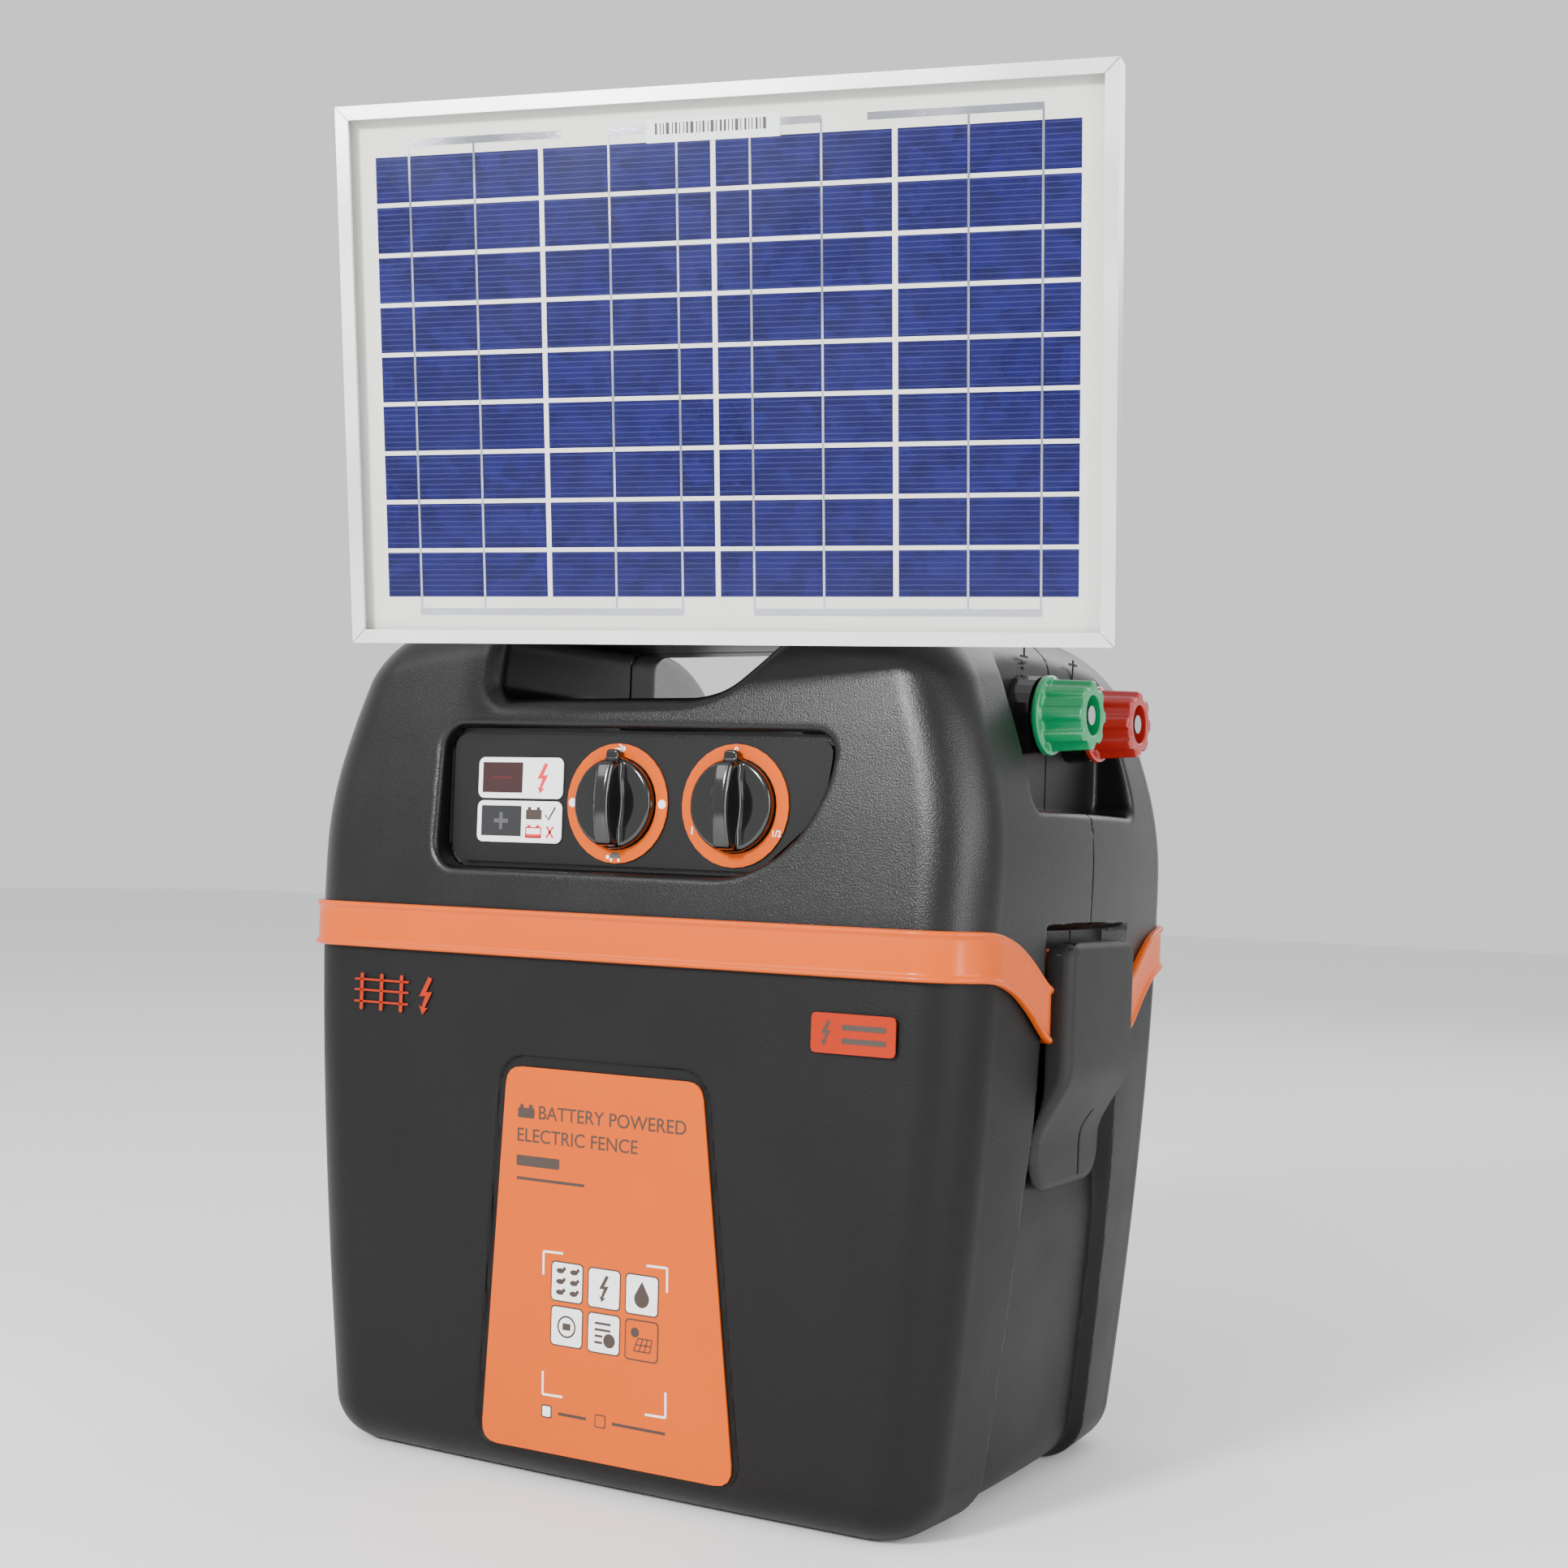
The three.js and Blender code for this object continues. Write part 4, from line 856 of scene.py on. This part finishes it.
for i, reach in enumerate((3.4, 3.4, -0.5, -0.5)):
    z = tz + 4 - 2.6 * i
    lab(f"tile_line_{i}", rounded_rect(tx - 4.4, tx + reach, z - 0.5, z + 0.5, 0.2), DARK, ICON)
lab("tile_seal", disc(tx + 2.8, tz - 2.6, 2.9, 24), DARK, ICON)
tx, tz = TILES[5]
lab("tile_sun", disc(tx - 3.2, tz + 3.0, 2.0, 20), DARK, ICON)
for i in range(4):
    foot, head = tx - 3.6 + 2.6 * i, tx - 1.6 + 2.2 * i
    lab(f"tile_grid_v{i}", stroke([(foot, tz - 4.4), (head, tz + 0.8)], 0.5), DARK, ICON)
for i in range(3):
    z = tz - 4.4 + 2.6 * i
    lab(f"tile_grid_h{i}", stroke([(tx - 3.6 + i, z), (tx + 4.2 + 0.4 * i, z)], 0.5), DARK, ICON)
# white corner brackets and the two legend squares
CORNERS = [((-25.2, 3.6), (9.8, 0.2), (0.2, -9.6)), ((35.5, 4.0), (-9.8, -0.2), (0.2, -9.7)),
           ((-23.7, -55.1), (9.9, 0.2), (-0.2, 9.4)), ((36.6, -55.5), (-9.8, -0.2), (-0.3, 10.0))]
for i, ((cx, cz), (hx, hz), (vx, vz)) in enumerate(CORNERS):
    lab(f"corner_h{i}", stroke([(cx, cz), (cx + hx, cz + hz)], 0.9), WHITE)
    lab(f"corner_v{i}", stroke([(cx, cz), (cx + vx, cz + vz)], 0.9), WHITE)
lab("legend_a", rounded_rect(-24.1, -18.9, -64.6, -59.2, 0.9), DARK)
lab("legend_a_in", rounded_rect(-23.5, -19.5, -64.0, -59.8, 0.6), WHITE, 0.05)
lab("legend_rule_a", rounded_rect(-15.6, -1.8, -62.6, -61.4, 0.3), DARK)
lab("legend_b", rounded_rect(2.5, 7.9, -64.6, -59.2, 0.9), DARK)
lab("legend_b_in", rounded_rect(3.0, 7.4, -64.1, -59.7, 0.6), LABEL, 0.05)
lab("legend_rule_b", rounded_rect(11.0, 36.6, -62.6, -61.4, 0.3), DARK)

# badge: a dark bolt between two plain rules
BADGE_M = Matrix.Translation((0, -114.3 * MM, 0))
badge = print_on("tub", BADGE_M, 0.02)
badge("badge_bolt", bolt(105.5, 195.8, 5.0), DARK)
badge("badge_rule_a", rounded_rect(112.5, 131.5, 197.2, 199.4, 0.5), DARK)
badge("badge_rule_b", rounded_rect(112.5, 131.5, 192.0, 194.2, 0.5), DARK)

# a plain fence sign printed on the tub
SIGN_M = Matrix.Translation((0, -113.05 * MM, 0)) @ Matrix.Rotation(0.004, 4, "X")
sign = print_on("tub", SIGN_M, 0.0)
for i in range(3):
    x = -126 + 11 * i
    sign(f"mark_post_{i}", rounded_rect(x - 0.9, x + 0.9, 190.0, 206.0, 0.6), BADGE)
for i, z in enumerate((193.6, 198.6, 203.2)):
    sign(f"mark_wire_{i}", rounded_rect(-130, -100, z - 0.45, z + 0.45, 0.3), BADGE)
sign("mark_bolt", bolt(-90.5, 198, 8.2), BADGE)

# ---------------------------------------------------------------- control panel prints
CTRL_M = Matrix.Translation((0, FACE_Y * MM, 0))
ctl = print_on("lid", CTRL_M, 0.52)
ctl("pulse_bolt", bolt(-40.5, 292.8, 6.6), REDINK)
upper = slab("indicator_upper", rounded_rect(-74.3, -30.0, 284.1, 301.6, 3.0), 0.5, WHITE, CTRL_M)
lower = slab("indicator_lower", rounded_rect(-74.3, -30.0, 265.3, 283.0, 3.0), 0.5, WHITE, CTRL_M)
place(upper, "lid", "indicator_label")
place(lower, "lid")
for i, (z, mat) in enumerate(((277.6, DARK), (270.0, REDINK))):
    if i == 0:
        ctl(f"cell_icon_{i}", rounded_rect(-48.6, -40.4, z - 2.4, z + 1.8, 0.4), mat)
    else:
        for j, seg in enumerate(([(-48.6, z - 2.4), (-40.4, z - 2.4)], [(-48.6, z + 1.8), (-40.4, z + 1.8)],
                                 [(-48.4, z - 2.4), (-48.4, z + 1.8)], [(-40.6, z - 2.4), (-40.6, z + 1.8)])):
            ctl(f"cell_icon_{i}_{j}", stroke(seg, 0.6), mat)
        ctl("cell_icon_fill", rounded_rect(-48.4, -40.6, z - 2.4, z - 1.0, 0.1), mat)
    ctl(f"cell_icon_{i}_p", rounded_rect(-47.6, -46.0, z + 1.8, z + 2.9, 0.1), mat)
    ctl(f"cell_icon_{i}_n", rounded_rect(-43.0, -41.4, z + 1.8, z + 2.9, 0.1), mat)
ctl("tick", stroke([(-38.4, 277.2), (-36.9, 275.2), (-33.4, 280.6)], 0.8), DARK)
ctl("cross_a", stroke([(-37.6, 267.6), (-34.2, 272.4)], 0.9), REDINK)
ctl("cross_b", stroke([(-34.2, 267.6), (-37.6, 272.4)], 0.9), REDINK)
lens = print_on("lid", CTRL_M, 0.72)
lens("window_plus_h", rounded_rect(-65.2, -57.8, 273.5, 275.3, 0.2), GREY)
lens("window_plus_v", rounded_rect(-62.4, -60.6, 270.7, 278.1, 0.2), GREY, 0.02)
GLOW = material("glow_mark", (0.05, 0.004, 0.004), 0.3)
lens("window_glow", rounded_rect(-67.0, -56.0, 292.2, 293.6, 0.4), GLOW)
dial = print_on("lid", CTRL_M, 0.62)


def polar(cx, cz, r, deg):
    return cx + r * math.sin(math.radians(deg)), cz + r * math.cos(math.radians(deg))


mx, mz = DIALS["mode"]
for i, deg in enumerate((90, 270)):
    x, z = polar(mx, mz, 22.3, deg)
    dial(f"mode_dot_{i}", disc(x, z, 1.9, 20), WHITE)
hx, hz = polar(mx, mz, 22.2, 0)
dial("fast_body", disc(hx, hz - 0.3, 2.6, 20, 1.3), WHITE)
dial("fast_head", disc(hx + 2.6, hz + 0.6, 0.95, 14), WHITE)
dial("fast_ear", stroke([(hx + 2.2, hz + 1.0), (hx + 0.4, hz + 2.4)], 0.6), WHITE)
dial("fast_leg", stroke([(hx - 2.0, hz - 0.6), (hx - 3.6, hz - 1.8)], 0.7), WHITE)
sx_, sz_ = polar(mx, mz, 22.2, 180)
dome = [(sx_ + 2.8 * math.cos(t), sz_ - 0.6 + 2.4 * math.sin(t)) for t in np.linspace(0, math.pi, 16)]
dial("slow_shell", dome, GREY)
dial("slow_head", disc(sx_ - 3.6, sz_ - 0.2, 0.9, 14), WHITE)
dial("slow_leg_a", rounded_rect(sx_ - 2.4, sx_ - 1.3, sz_ - 2.0, sz_ - 0.7, 0.2), WHITE)
dial("slow_leg_b", rounded_rect(sx_ + 1.3, sx_ + 2.4, sz_ - 2.0, sz_ - 0.7, 0.2), WHITE)
px_, pz_ = DIALS["power"]
NUMBER_M = CTRL_M @ Matrix.Translation((0, -0.62 * MM, 0))
for name, text, deg, size in (("off", "0", 0, 4.4), ("half", "1/2", 118, 3.6), ("full", "1", 242, 4.4)):
    x, z = polar(px_, pz_, 22.3, deg)
    words(f"power_{name}", text, size, x, z - 1.5, WHITE, NUMBER_M, "lid", 0.0, 0.06, "CENTER")

# moulded signs above the terminals on the pocket's flat wall
POCKET_M = Matrix.Translation((145.95 * MM, 0, 0)) @ Matrix.Rotation(math.pi / 2, 4, "Z")
mould = print_on("lid", POCKET_M, 0.0)
for i, (w, z) in enumerate(((7.0, 349.0), (4.8, 346.6), (2.6, 344.2))):
    mould(f"earth_sign_{i}", stroke([(-27 - w / 2, z), (-27 + w / 2, z)], 0.9), LID, 0.0, 0.5)
mould("earth_sign_s", stroke([(-27, 349), (-27, 353)], 0.9), LID, 0.0, 0.5)
mould("fence_sign_v", stroke([(27, 343.6), (27, 352.5)], 1.0), LID, 0.0, 0.5)
mould("fence_sign_h", stroke([(22.5, 350.4), (31.5, 350.4)], 1.0), LID, 0.0, 0.5)


# ---------------------------------------------------------------- studio
def area(name, loc, target, size, power, color=(1, 1, 1), size_y=None):
    li = bpy.data.lights.new(name, "AREA")
    li.energy = power
    li.size = size
    li.color = color
    if size_y:
        li.shape = "RECTANGLE"
        li.size_y = size_y
    ob = bpy.data.objects.new(name, li)
    bpy.context.collection.objects.link(ob)
    ob.location = loc
    ob.rotation_euler = (Vector(target) - Vector(loc)).to_track_quat("-Z", "Y").to_euler()
    return ob


floor_mat = material("pale_floor", (0.86, 0.86, 0.86), 0.7, tint=0.01)
bpy.ops.mesh.primitive_plane_add(size=14, location=(0, 0, -0.0003))
floor = bpy.context.object
floor.name = "floor"
floor.data.materials.append(floor_mat)
world = bpy.data.worlds.new("studio")
bpy.context.scene.world = world
world.use_nodes = True
world.node_tree.nodes["Background"].inputs["Color"].default_value = (0.97, 0.98, 1.0, 1)
world.node_tree.nodes["Background"].inputs["Strength"].default_value = 1.0
area("key", (-1.5, -2.0, 1.9), (0, 0, 0.25), 1.2, 20)
area("strip_front", (0.25, -2.2, 1.6), (0.05, -0.1, 0.3), 0.5, 12, size_y=0.9)
area("side", (2.2, -0.3, 1.0), (0.15, 0, 0.25), 1.0, 22, (1.0, 0.97, 0.94))
area("sheen_front", (-0.25, -1.9, 1.07), (0.1, -0.1, 0.32), 0.3, 60)
area("sheen_edge", (1.75, -0.95, 0.5), (0.15, -0.1, 0.2), 0.3, 16, size_y=1.1)
area("back", (0.4, 2.2, 1.8), (0, 0, 0.3), 1.4, 18)

cam_data = bpy.data.cameras.new("camera")
cam = bpy.data.objects.new("camera", cam_data)
bpy.context.collection.objects.link(cam)
yaw, pitch, roll = 0.514, -0.032, 0.033
aim = Vector((-math.sin(yaw) * math.cos(pitch), math.cos(yaw) * math.cos(pitch), -math.sin(pitch)))
right = Vector((math.cos(yaw), math.sin(yaw), 0))
upv = right.cross(aim)
right2 = math.cos(roll) * right + math.sin(roll) * upv
up2 = -math.sin(roll) * right + math.cos(roll) * upv
orbit = Vector((18.875, 0, 295.707)) * MM - aim * 0.97494
rot = Matrix((right2, up2, -aim)).transposed()
cam.matrix_world = Matrix.Translation(orbit) @ rot.to_4x4()
cam_data.lens = 49.4
cam_data.sensor_width = 36
cam_data.clip_start = 0.05
bpy.context.scene.camera = cam
